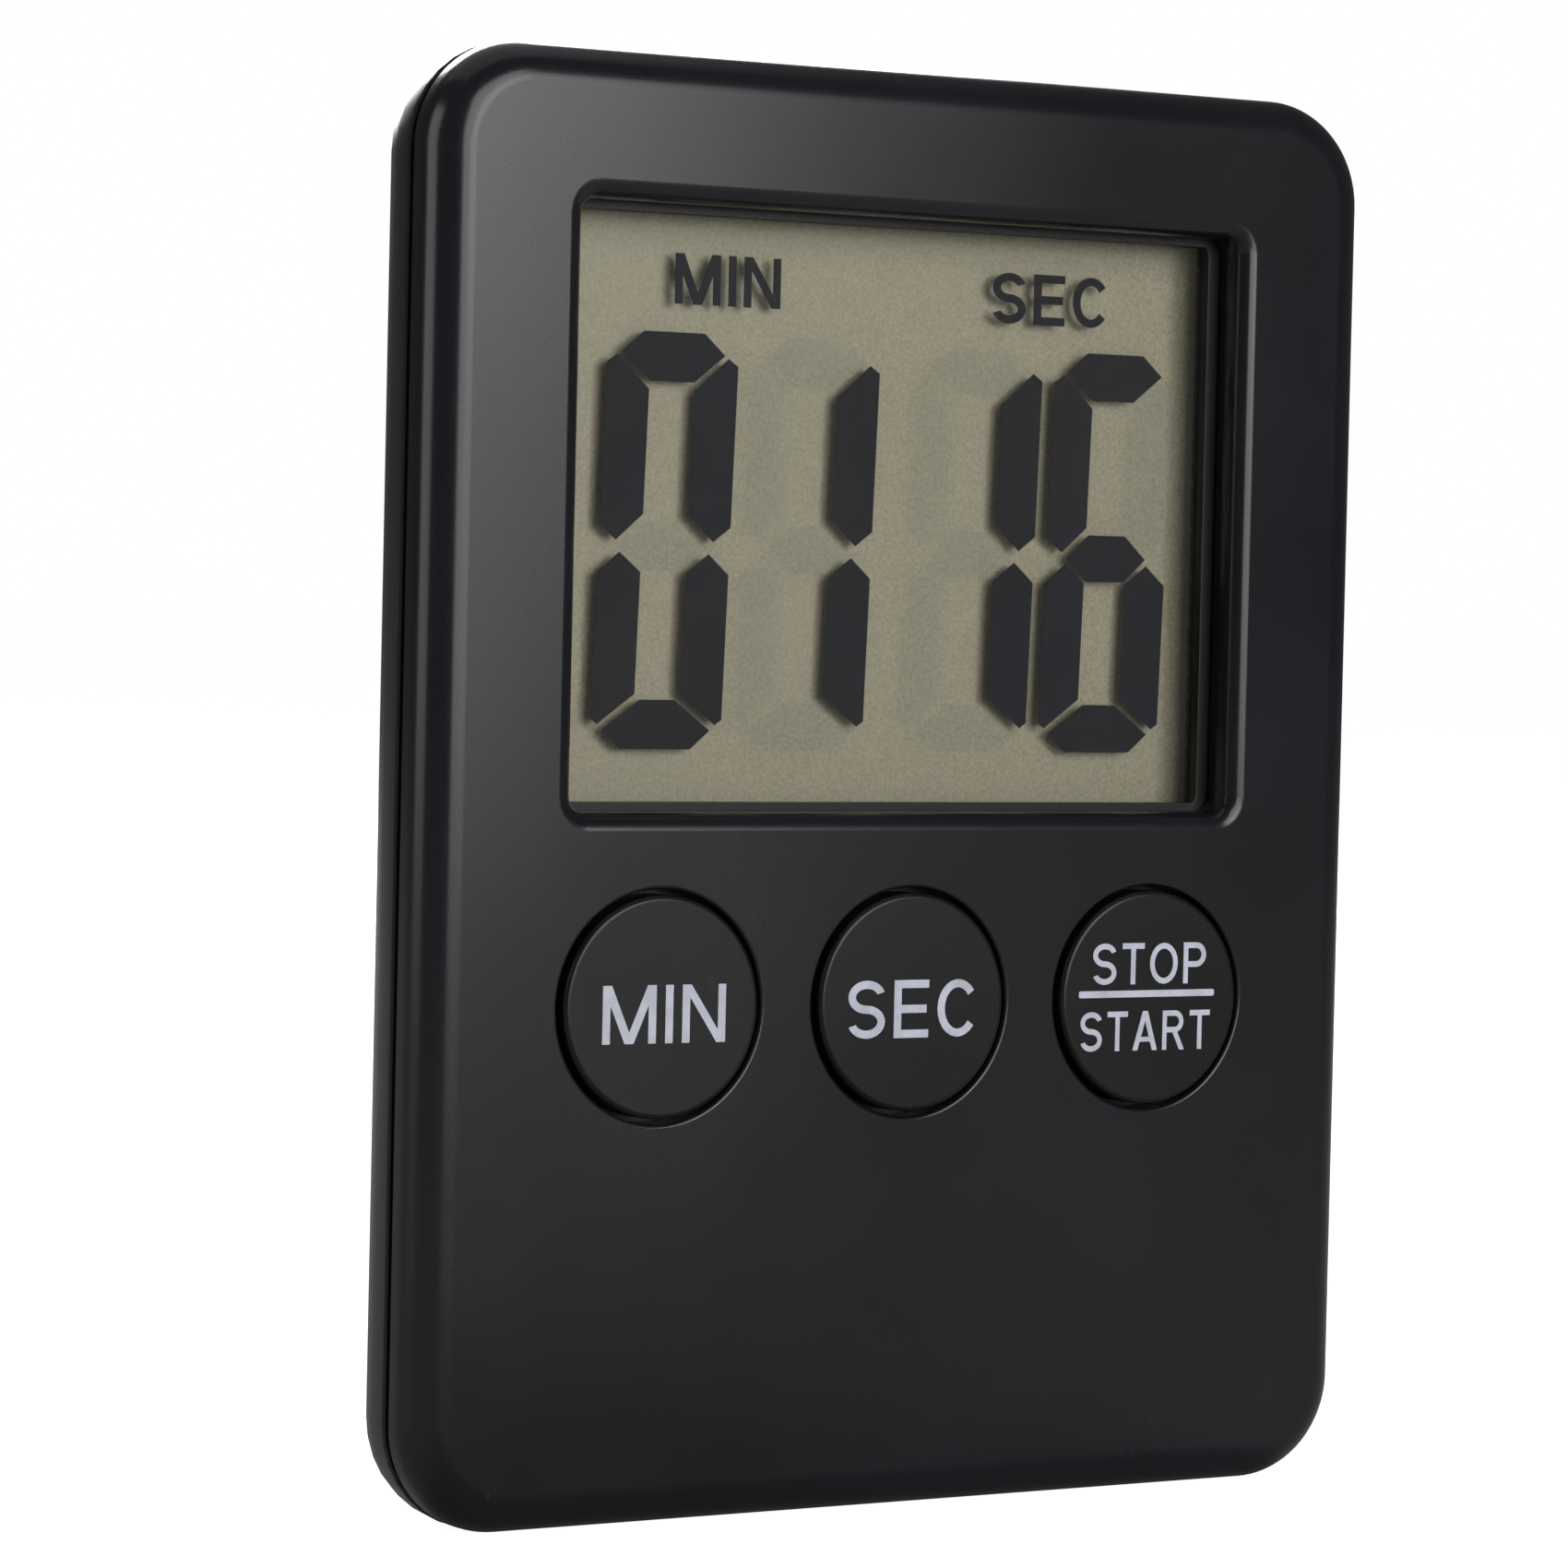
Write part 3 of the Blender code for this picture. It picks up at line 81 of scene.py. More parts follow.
Colour = tuple[float, float, float]
Pair = tuple[float, float]
Side = list[Pair]
Strip = tuple[Side, Side]
Number = float | bpy.types.NodeSocket
Shade = tuple[float, float, float, float] | bpy.types.NodeSocket


# ---------------------------------------------------------------- node trees


class Graph:
    """A node tree with one short call for adding, setting and joining a node."""

    def __init__(self, tree: bpy.types.NodeTree) -> None:
        """Keeps the shader or geometry tree to build in."""
        self.tree = tree

    def add(self, kind: str, inputs: dict | None = None, **settings: object) -> bpy.types.Node:
        """Adds a node.

        Args:
            kind: The node's Blender type.
            inputs: Socket name or number to a value, or to a socket to join.
            **settings: Attributes of the node itself.

        Returns:
            The new node.
        """
        node = self.tree.nodes.new(kind)
        for key, value in settings.items():
            setattr(node, key, value)
        for key, value in (inputs or {}).items():
            if isinstance(value, bpy.types.NodeSocket):
                self.tree.links.new(value, node.inputs[key])
            else:
                node.inputs[key].default_value = value
        return node

    def math(self, operation: str, *values: Number) -> bpy.types.NodeSocket:
        """Adds a Math node and returns its result."""
        node = self.add("ShaderNodeMath", dict(enumerate(values)), operation=operation)
        return node.outputs[0]

    def blend(self, factor: Number, first: Shade, second: Shade) -> bpy.types.NodeSocket:
        """Mixes two colours, from the first at a factor of 0 to the second at 1."""
        node = self.add("ShaderNodeMix", {0: factor, 6: first, 7: second}, data_type="RGBA")
        return node.outputs[2]

    def span(self, value: Number, source: Pair, target: Pair = FULL) -> bpy.types.NodeSocket:
        """Maps a value from one range to another, held at both ends."""
        inputs = {0: value, 1: source[0], 2: source[1], 3: target[0], 4: target[1]}
        return self.add("ShaderNodeMapRange", inputs).outputs[0]


def opaque(colour: Colour, share: float = 1.0) -> tuple[float, float, float, float]:
    """A share of the colour, held at white, with full alpha."""
    return (*(min(part * share, 1.0) for part in colour), 1.0)


def new_group(
    name: str, inputs: dict[str, float | None], outputs: Sequence[str]
) -> tuple[Graph, bpy.types.Node, bpy.types.Node]:
    """Starts a shader node group.

    Args:
        name: The group's name.
        inputs: Input name to its default, or to None for a vector.
        outputs: The names of its number outputs.

    Returns:
        The graph, the group's input node and its output node.
    """
    tree = bpy.data.node_groups.new(name, "ShaderNodeTree")
    for label, default in inputs.items():
        kind = "NodeSocketVector" if default is None else "NodeSocketFloat"
        socket = tree.interface.new_socket(label, in_out="INPUT", socket_type=kind)
        if default is not None:
            socket.default_value = default
    for label in outputs:
        tree.interface.new_socket(label, in_out="OUTPUT", socket_type="NodeSocketFloat")
    graph = Graph(tree)
    return graph, graph.add("NodeGroupInput"), graph.add("NodeGroupOutput")


def join(graph: Graph, source: bpy.types.NodeSocket, target: bpy.types.NodeSocket) -> None:
    """Links two sockets."""
    graph.tree.links.new(source, target)


class Effects:
    """Surface effects that several finishes share, each a node group built once."""

    def __init__(self) -> None:
        """Builds the groups."""
        self.grain = self._grain()
        self.dust = self._dust()
        self.hairs = self._hairs()
        self.brushing = self._brushing()

    @staticmethod
    def _grain() -> bpy.types.NodeTree:
        """Fine moulded grain over a slow change of tone.

        Returns:
            The group's tree.
        """
        graph, given, result = new_group(
            "moulded_grain", {"Vector": None, "Scale": 9000.0, "Drift": 60.0}, ("Height", "Tone")
        )
        fine = graph.add(
            "ShaderNodeTexNoise",
            {"Vector": given.outputs["Vector"], "Scale": given.outputs["Scale"], "Detail": 3.0},
        )
        slow = graph.add(
            "ShaderNodeTexNoise",
            {"Vector": given.outputs["Vector"], "Scale": given.outputs["Drift"], "Detail": 4.0},
        )
        fine_share = 0.35
        mixed = graph.math("MULTIPLY", fine.outputs[0], fine_share)
        tone = graph.math("MULTIPLY_ADD", slow.outputs[0], 1.0 - fine_share, mixed)
        join(graph, fine.outputs[0], result.inputs["Height"])
        join(graph, tone, result.inputs["Tone"])
        return graph.tree

    @staticmethod
    def _dust() -> bpy.types.NodeTree:
        """Sparse specks of dust, a few to each square centimetre.

        Returns:
            The group's tree.
        """
        graph, given, result = new_group(
            "dust_specks", {"Vector": None, "Scale": 420.0, "Share": 0.3, "Size": 0.022}, ("Mask",)
        )
        cells = graph.add(
            "ShaderNodeTexVoronoi",
            {"Vector": given.outputs["Vector"], "Scale": given.outputs["Scale"]},
        )
        parts = graph.add("ShaderNodeSeparateColor", {0: cells.outputs["Color"]})
        chosen = graph.math("LESS_THAN", parts.outputs[0], given.outputs["Share"])
        reach = graph.math("MULTIPLY", parts.outputs[1], given.outputs["Size"])
        inside = graph.math("LESS_THAN", cells.outputs["Distance"], reach)
        join(graph, graph.math("MULTIPLY", chosen, inside), result.inputs["Mask"])
        return graph.tree

    @staticmethod
    def _hairs() -> bpy.types.NodeTree:
        """Hair-thin scratches that lean one way and come and go.

        Returns:
            The group's tree.
        """
        graph, given, result = new_group(
            "hair_scratches", {"Vector": None, "Scale": 1.0, "Width": 0.0016}, ("Mask",)
        )
        turned = graph.add(
            "ShaderNodeMapping",
            {
                "Vector": given.outputs["Vector"],
                "Rotation": (0.0, 0.62, 0.0),
                "Scale": (700.0, 700.0, 50.0),
            },
        )
        field = graph.add(
            "ShaderNodeTexNoise",
            {"Vector": turned.outputs[0], "Scale": given.outputs["Scale"], "Detail": 1.0},
        )
        off = graph.math("ABSOLUTE", graph.math("SUBTRACT", field.outputs[0], 0.5))
        line = graph.math("LESS_THAN", off, given.outputs["Width"])
        patches = graph.add(
            "ShaderNodeTexNoise",
            {"Vector": given.outputs["Vector"], "Scale": 95.0, "Detail": 2.0},
        )
        there = graph.span(patches.outputs[0], (0.6, 0.68))
        join(graph, graph.math("MULTIPLY", line, there), result.inputs["Mask"])
        return graph.tree

    @staticmethod
    def _brushing() -> bpy.types.NodeTree:
        """Drawn or rolled lines along the height.

        Returns:
            The group's tree.
        """
        graph, given, result = new_group(
            "rolled_lines", {"Vector": None, "Scale": 6000.0}, ("Height",)
        )
        drawn = graph.add(
            "ShaderNodeMapping", {"Vector": given.outputs["Vector"], "Scale": (1.0, 1.0, 0.03)}
        )
        lines = graph.add(
            "ShaderNodeTexNoise",
            {"Vector": drawn.outputs[0], "Scale": given.outputs["Scale"], "Detail": 2.0},
        )
        join(graph, lines.outputs[0], result.inputs["Height"])
        return graph.tree


EFFECTS = Effects()


# ------------------------------------------------------------------ finishes


class Finish:
    """A material under construction: its graph, its shader and its Object coordinates."""

    def __init__(self, name: str) -> None:
        """Starts a material of this name."""
        self.material = bpy.data.materials.new(name)
        self.material.use_nodes = True
        self.graph = Graph(self.material.node_tree)
        self.shader = self.material.node_tree.nodes["Principled BSDF"]
        self.place = self.graph.add("ShaderNodeTexCoord").outputs["Object"]

    def effect(self, group: bpy.types.NodeTree, **values: Number) -> bpy.types.Node:
        """Places a shared effect on this finish.

        Args:
            group: The effect's node group.
            **values: Its named inputs.

        Returns:
            The group node.
        """
        inputs = {"Vector": self.place, **values}
        return self.graph.add("ShaderNodeGroup", inputs, node_tree=group)

    def shades(
        self, mask: Number, low: Shade, high: Shade, source: Pair = MIDDLE
    ) -> bpy.types.NodeSocket:
        """Runs from one colour to another as a mask rises through a range of its values."""
        return self.graph.blend(self.graph.span(mask, source), low, high)

    def set(self, **values: Number | Shade) -> None:
        """Sets or joins shader inputs.

        Args:
            **values: Values or sockets by the input's name, with underscores for its spaces.
        """
        for key, value in values.items():
            socket = self.shader.inputs[key.replace("_", " ")]
            if isinstance(value, bpy.types.NodeSocket):
                join(self.graph, value, socket)
            else:
                socket.default_value = value

    def relief(self, height: bpy.types.NodeSocket, distance: float, strength: float) -> None:
        """Bumps the surface.

        Args:
            height: The height socket, 0 to 1.
            distance: The height in metres that 1 stands for.
            strength: How much of it shows.
        """
        inputs = {"Height": height, "Distance": distance, "Strength": strength}
        bump = self.graph.add("ShaderNodeBump", inputs)
        join(self.graph, bump.outputs[0], self.shader.inputs["Normal"])


@dataclass(frozen=True)
class MouldedPlastic:
    """Satin black moulded plastic with fine grain, specks of dust and hair scratches."""

    name: str
    colour: Colour = (0.0085, 0.0085, 0.0115)
    roughness: float = 0.2
    specular: float = 0.4
    grain: float = 0.10
    dust: float = 0.30
    dust_colour: Colour = (0.34, 0.34, 0.36)
    scratch_colour: Colour = (0.1, 0.1, 0.1)
    scratch_share: float = 0.12
    drift: float = 0.035

    def build(self) -> bpy.types.Material:
        """Makes the material.

        Returns:
            The finished material.
        """
        finish = Finish(self.name)
        graph = finish.graph
        grain = finish.effect(EFFECTS.grain)
        dust = finish.effect(EFFECTS.dust, Share=self.dust)
        hairs = finish.effect(EFFECTS.hairs)
        tone = grain.outputs["Tone"]
        colour = finish.shades(tone, opaque(self.colour, 0.82), opaque(self.colour, 1.3), NARROW)
        scratched = graph.math("MULTIPLY", hairs.outputs[0], self.scratch_share)
        colour = graph.blend(scratched, colour, opaque(self.scratch_colour))
        colour = graph.blend(dust.outputs[0], colour, opaque(self.dust_colour))
        change = (self.roughness - self.drift, self.roughness + self.drift)
        rough = graph.span(tone, MIDDLE, change)
        rough = graph.math("MULTIPLY_ADD", dust.outputs[0], 0.4, rough)
        finish.set(Base_Color=colour, Roughness=rough, Specular_IOR_Level=self.specular)
        height = graph.math("MULTIPLY_ADD", hairs.outputs[0], -0.08, grain.outputs["Height"])
        finish.relief(height, 0.01 * MM, self.grain)
        return finish.material


@dataclass(frozen=True)
class PrintedInk:
    """Pad-printed legend ink with a slightly uneven film."""

    name: str
    colour: Colour = (0.62, 0.64, 0.74)

    def build(self) -> bpy.types.Material:
        """Makes the material.

        Returns:
            The finished material.
        """
        finish = Finish(self.name)
        grain = finish.effect(EFFECTS.grain, Scale=14000.0, Drift=900.0)
        thin = opaque(self.colour, 0.78)
        film = finish.shades(grain.outputs["Tone"], thin, opaque(self.colour), (0.35, 0.6))
        finish.set(Base_Color=film, Roughness=0.5, Specular_IOR_Level=0.3)
        finish.relief(grain.outputs["Height"], 0.008 * MM, 0.4)
        return finish.material


@dataclass(frozen=True)
class DisplayReflector:
    """Tan reflective film behind the display, with fine sparkling grain."""

    name: str
    colour: Colour = (0.285, 0.262, 0.176)

    def build(self) -> bpy.types.Material:
        """Makes the material.

        Returns:
            The finished material.
        """
        finish = Finish(self.name)
        graph = finish.graph
        grain = finish.effect(EFFECTS.grain, Scale=5200.0, Drift=40.0)
        speckle = graph.span(grain.outputs["Height"], MIDDLE)
        colour = graph.blend(speckle, opaque(self.colour, 0.78), opaque(self.colour, 1.2))
        rough = graph.span(speckle, FULL, (0.42, 0.6))
        finish.set(Base_Color=colour, Roughness=rough, Metallic=0.15)
        finish.relief(grain.outputs["Height"], 0.02 * MM, 0.35)
        return finish.material


@dataclass(frozen=True)
class DisplaySegment:
    """The dye of a display segment: lit ones are near black, unlit ones a faint veil."""

    name: str
    colour: Colour = (0.006, 0.007, 0.012)
    density: float = 1.0
    tint: Colour = (0.8, 0.95, 1.2)

    def build(self) -> bpy.types.Material:
        """Makes the material.

        Returns:
            The finished material.
        """
        finish = Finish(self.name)
        grain = finish.effect(EFFECTS.grain, Scale=4200.0, Drift=120.0)
        cool = opaque(tuple(part * tint for part, tint in zip(self.colour, self.tint)))
        colour = finish.shades(grain.outputs["Tone"], opaque(self.colour), cool, NARROW)
        finish.set(Base_Color=colour, Roughness=0.45, Specular_IOR_Level=0.04)
        if self.density < 1.0:
            cover = (self.density * 0.8, self.density * 1.2)
            finish.set(Alpha=finish.graph.span(grain.outputs["Height"], MIDDLE, cover))
        return finish.material


@dataclass(frozen=True)
class ClearLayer:
    """Clear film or glass in the display stack, with a trace of haze."""

    name: str
    colour: Colour
    cover: float
    roughness: float

    def build(self) -> bpy.types.Material:
        """Makes the material.

        Returns:
            The finished material.
        """
        finish = Finish(self.name)
        graph = finish.graph
        grain = finish.effect(EFFECTS.grain, Scale=3000.0, Drift=90.0)
        tone = grain.outputs["Tone"]
        colour = graph.blend(tone, opaque(self.colour), opaque(self.colour, 0.9))
        cover = graph.span(tone, MIDDLE, (self.cover * 0.8, self.cover * 1.2))
        finish.set(Base_Color=colour, Roughness=self.roughness, Alpha=cover)
        return finish.material


@dataclass(frozen=True)
class PlatedMetal:
    """Plated, rolled or drawn metal with fine lines and slight tarnish."""

    name: str
    colour: Colour
    roughness: float = 0.28
    tarnish: float = 0.25

    def build(self) -> bpy.types.Material:
        """Makes the material.

        Returns:
            The finished material.
        """
        finish = Finish(self.name)
        graph = finish.graph
        grain = finish.effect(EFFECTS.grain, Scale=7000.0, Drift=300.0)
        lines = finish.effect(EFFECTS.brushing)
        tone = grain.outputs["Tone"]
        colour = finish.shades(tone, opaque(self.colour, 1.0 - self.tarnish), opaque(self.colour))
        rough = graph.span(tone, MIDDLE, (self.roughness - 0.06, self.roughness + 0.1))
        finish.set(Base_Color=colour, Roughness=rough, Metallic=1.0)
        finish.relief(lines.outputs["Height"], 0.01 * MM, 0.3)
        return finish.material


@dataclass(frozen=True)
class SoftMatte:
    """Rubber, ceramic, potting or insulation: one colour with grain, or striped with another."""

    name: str
    colour: Colour
    roughness: float
    stripe: Colour | None = None
    stripe_scale: float = 0.0

    def build(self) -> bpy.types.Material:
        """Makes the material.

        Returns:
            The finished material.
        """
        finish = Finish(self.name)
        graph = finish.graph
        grain = finish.effect(EFFECTS.grain, Scale=5000.0, Drift=400.0)
        tone = grain.outputs["Tone"]
        colour = finish.shades(tone, opaque(self.colour, 0.7), opaque(self.colour))
        if self.stripe:
            wave = graph.add(
                "ShaderNodeTexWave",
                {"Vector": finish.place, "Scale": self.stripe_scale, "Distortion": 0.4},
                wave_type="BANDS",
                bands_direction="X",
            )
            colour = finish.shades(wave.outputs["Fac"], colour, opaque(self.stripe), (0.42, 0.58))
        rough = graph.span(tone, MIDDLE, (self.roughness - 0.08, self.roughness + 0.08))
        finish.set(Base_Color=colour, Roughness=rough)
        finish.relief(grain.outputs["Height"], 0.015 * MM, 0.5)
        return finish.material


@dataclass(frozen=True)
class BoardMask:
    """Green solder mask with paler copper tracks under it and drilled pads."""

    name: str
    mask: Colour = (0.012, 0.07, 0.02)
    track: Colour = (0.03, 0.17, 0.05)
    darkest: float = 0.75

    def build(self) -> bpy.types.Material:
        """Makes the material.

        Returns:
            The finished material.
        """
        finish = Finish(self.name)
        graph = finish.graph
        flat = graph.add(
            "ShaderNodeMapping",
            {"Vector": finish.place, "Rotation": (math.pi / 2, 0.0, 0.0)},
        )
        tracks = graph.add(
            "ShaderNodeTexBrick",
            {
                "Vector": flat.outputs[0],
                "Scale": 260.0,
                "Mortar Size": 0.05,
                "Mortar Smooth": 0.1,
                "Brick Width": 1.7,
                "Row Height": 0.35,
            },
            offset=0.37,
            squash=1.6,
        )
        grain = finish.effect(EFFECTS.grain, Scale=6000.0, Drift=200.0)
        tone = graph.span(grain.outputs["Tone"], MIDDLE, (self.darkest, 1.0))
        mask = graph.blend(tone, opaque((0.0, 0.0, 0.0)), opaque(self.mask))
        colour = graph.blend(tracks.outputs["Fac"], mask, opaque(self.track))
        rough = graph.span(tone, (self.darkest, 1.0), (0.4, 0.3))
        finish.set(Base_Color=colour, Roughness=rough)
        finish.relief(tracks.outputs["Fac"], 0.03 * MM, 0.6)
        return finish.material


# -------------------------------------------------------------------- shapes


class Operation(Enum):
    """What a Boolean does with its tool."""

    JOIN = "UNION"
    CUT = "DIFFERENCE"


def placed(mesh: bpy.types.Mesh, name: str) -> bpy.types.Object:
    """Puts a mesh into the scene.

    Args:
        mesh: The mesh.
        name: The object's name.

    Returns:
        The new object, at the origin.
    """
    made = bpy.data.objects.new(name, mesh)
    bpy.context.scene.collection.objects.link(made)
    return made


def linked(edit: bmesh.types.BMesh, name: str) -> bpy.types.Object:
    """Turns a bmesh into an object in the scene.

    Args:
        edit: The bmesh, which is freed.
        name: The object's name.

    Returns:
        The new object.
    """
    mesh = bpy.data.meshes.new(name)
    edit.to_mesh(mesh)
    edit.free()
    return placed(mesh, name)


def from_bmesh(edit: bmesh.types.BMesh, name: str) -> bpy.types.Object:
    """Turns a closed bmesh into an object with faces pointing out.

    Args:
        edit: The bmesh, which is freed.
        name: The object's name.

    Returns:
        The new object.
    """
    bmesh.ops.remove_doubles(edit, verts=edit.verts, dist=MERGE)
    bmesh.ops.recalc_face_normals(edit, faces=edit.faces)
    return linked(edit, name)


def skin(edit: bmesh.types.BMesh, loops: Sequence[Sequence[bmesh.types.BMVert]]) -> None:
    """Closes loops of equal point counts into one capped skin.

    Args:
        edit: The bmesh that holds the points.
        loops: The loops, in order along the skin.
    """
    edit.faces.new(loops[0])
    edit.faces.new(loops[-1])
    for first, second in zip(loops, loops[1:]):
        for i in range(len(first)):
            j = (i + 1) % len(first)
            edit.faces.new((first[i], first[j], second[j], second[i]))


def lofted(name: str, rings: Sequence[Sequence[Vector]]) -> bpy.types.Object:
    """Skins rings of equal point counts into one capped body.

    Args:
        name: The object's name.
        rings: Rings of points, in order along the body.

    Returns:
        The new object.
    """
    edit = bmesh.new()
    skin(edit, [[edit.verts.new(point) for point in ring] for ring in rings])
    return from_bmesh(edit, name)


def plate_ring(size: Pair, radius: float, y: float, centre: Pair, steps: int) -> list[Vector]:
    """Points of an upright rectangle with round corners.

    Args:
        size: Width and height.
        radius: The corner radius.
        y: Where it lies along the depth.
        centre: Its middle across and up.
        steps: Facets to each corner.

    Returns:
        The ring's points.
    """
    points = []
    for quarter, (side, rise) in enumerate(((1, 1), (-1, 1), (-1, -1), (1, -1))):
        for step in range(steps + 1):
            angle = math.pi / 2 * (quarter + step / steps)
            x = centre[0] + side * (size[0] / 2 - radius) + radius * math.cos(angle)
            z = centre[1] + rise * (size[1] / 2 - radius) + radius * math.sin(angle)
            points.append(Vector((x, y, z)))
    return points


def turned(name: str, profile: Iterable[Pair], centre: Pair, steps: int) -> bpy.types.Object:
    """A body turned about an axis along the depth.

    Args:
        name: The object's name.
        profile: (radius, y) pairs in order along the axis.
        centre: The axis across and up.
        steps: Facets round the axis.

    Returns:
        The new object.
    """
    rings = []
    for radius, y in profile:
        ring = []
        for step in range(steps):
            angle = 2 * math.pi * (step + 0.5) / steps
            x = centre[0] + radius * math.cos(angle)
            ring.append(Vector((x, y, centre[1] + radius * math.sin(angle))))
        rings.append(ring)
    return lofted(name, rings)


def quarter_round(radius: float, steps: int) -> list[Pair]:
    """Steps along a convex quarter round, from the face to the side.

    Args:
        radius: The round's radius.
        steps: Facets along it.

    Returns:
        Pairs of inset and depth.
    """
    pairs = []
    for step in range(steps + 1):
        angle = math.pi / 2 * step / steps
        pairs.append((radius * (1 - math.sin(angle)), radius * (1 - math.cos(angle))))
    return pairs


def boolean(target: bpy.types.Object, tool: bpy.types.Object, operation: Operation) -> None:
    """Adds one exact Boolean.

    Args:
        target: The body to change.
        tool: The body to join or to cut away.
        operation: Which of the two it is.
    """
    step = target.modifiers.new(tool.name, "BOOLEAN")
    step.operation = operation.value
    step.solver = "EXACT"
    step.object = tool


def settled(
    source: bpy.types.Object, name: str, tools: Sequence[bpy.types.Object] = ()
) -> bpy.types.Object:
    """Bakes the modifiers into a plain mesh and removes the source and its tools.

    Args:
        source: The object with its modifiers.
        name: The name of the result.
        tools: Helper objects that are no longer needed.

    Returns:
        A new object at the origin that holds the plain mesh.
    """
    bpy.context.view_layer.update()
    graph = bpy.context.evaluated_depsgraph_get()
    mesh = bpy.data.meshes.new_from_object(source.evaluated_get(graph))
    mesh.transform(source.matrix_world)
    for spent in (source, *tools):
        bpy.data.objects.remove(spent)
    mesh.name = name
    return placed(mesh, name)


def softened(source: bpy.types.Object, name: str, bevel: float = 0.0) -> bpy.types.Object:
    """Shades a piece smooth between its sharp edges, with flat faces kept flat.

    Args:
        source: The piece, which is replaced.
        name: The name of the result.
        bevel: Width of the softening of its sharp edges, or 0 for none.

    Returns:
        The finished piece.
    """
    edit = bmesh.new()
    edit.from_mesh(source.data)
    bmesh.ops.remove_doubles(edit, verts=edit.verts, dist=MERGE)
    bmesh.ops.dissolve_degenerate(edit, edges=edit.edges, dist=MERGE)
    bmesh.ops.dissolve_limit(
        edit,
        angle_limit=FLAT_ANGLE,
        verts=edit.verts,
        edges=edit.edges,
        use_dissolve_boundaries=False,
    )
    edit.to_mesh(source.data)
    edit.free()
    if bevel:
        step = source.modifiers.new("soft edges", "BEVEL")
        step.width = bevel
        step.segments = 2
        step.limit_method = "ANGLE"
        step.angle_limit = SHARP_ANGLE
        step.harden_normals = False
        source = settled(source, name)
    source.data.shade_smooth()
    source.data.set_sharp_from_angle(angle=SHARP_ANGLE)
    weigh = source.modifiers.new("flat faces", "WEIGHTED_NORMAL")
    weigh.mode = "FACE_AREA"
    weigh.weight = 100
    weigh.keep_sharp = True
    return settled(source, name)


def cad_copy(node: str) -> bpy.types.Object:
    """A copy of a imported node's mesh as a new object."""
    return placed(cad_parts[node].data.copy(), f"{node}_copy")


def dressed(piece: bpy.types.Object, material: bpy.types.Material, body: str, slot: str) -> None:
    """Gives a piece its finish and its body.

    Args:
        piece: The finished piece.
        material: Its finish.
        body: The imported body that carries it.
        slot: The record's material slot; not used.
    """
    piece.data.materials.clear()
    piece.data.materials.append(material)
    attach(piece, body)
    LOG.info("%s: %d faces on %s", piece.name, len(piece.data.polygons), body)


# ------------------------------------------------------------ geometry nodes


def new_tree(
    name: str, inputs: dict[str, str]
) -> tuple[Graph, bpy.types.NodeInputs, bpy.types.Node]:
    """Starts a geometry tree that takes and gives one geometry.

    Args:
        name: The tree's name.
        inputs: The kind of each further input, by the input's name.

    Returns:
        The graph, its inputs' sockets and its output node.
    """
    tree = bpy.data.node_groups.new(name, "GeometryNodeTree")
    for label, kind in {"Geometry": "Geometry", **inputs}.items():
        tree.interface.new_socket(label, in_out="INPUT", socket_type=f"NodeSocket{kind}")
    tree.interface.new_socket("Geometry", in_out="OUTPUT", socket_type="NodeSocketGeometry")
    graph = Graph(tree)
    return graph, graph.add("NodeGroupInput").outputs, graph.add("NodeGroupOutput")


def finished_tree(
    graph: Graph,
    geometry: bpy.types.NodeSocket,
    material: bpy.types.NodeSocket,
    result: bpy.types.Node,
) -> bpy.types.NodeTree:
    """Ends a geometry tree with real geometry and its material.

    Args:
        graph: The tree's graph.
        geometry: What the tree has made.
        material: The tree's material input.
        result: The tree's output node.

    Returns:
        The geometry tree.
    """
    whole = graph.add("GeometryNodeRealizeInstances", {0: geometry})
    inputs = {"Geometry": whole.outputs[0], "Material": material}
    dressed_whole = graph.add("GeometryNodeSetMaterial", inputs)
    join(graph, dressed_whole.outputs[0], result.inputs[0])
    return graph.tree


def row_tree() -> bpy.types.NodeTree:
    """Builds a tree that cuts a row of copies of a tool from a piece.

    Returns:
        The geometry tree, with named inputs for the tool, count, places and material.
    """
    kinds = {
        "Tool": "Object",
        "Count": "Int",
        "Start": "Vector",
        "Step": "Vector",
        "Material": "Material",
    }
    graph, given, result = new_tree("cut_row", kinds)
    tool = graph.add("GeometryNodeObjectInfo", {"Object": given["Tool"]})
    places = {"Count": given["Count"], "Start Location": given["Start"], "Offset": given["Step"]}
    points = graph.add("GeometryNodeMeshLine", places)
    inputs = {"Points": points.outputs[0], "Instance": tool.outputs["Geometry"]}
    copies = graph.add("GeometryNodeInstanceOnPoints", inputs)
    tools = graph.add("GeometryNodeRealizeInstances", {0: copies.outputs[0]})
    inputs = {"Mesh 1": given["Geometry"], "Mesh 2": tools.outputs[0]}
    carve = graph.add("GeometryNodeMeshBoolean", inputs, operation="DIFFERENCE", solver="EXACT")
    return finished_tree(graph, carve.outputs["Mesh"], given["Material"], result)


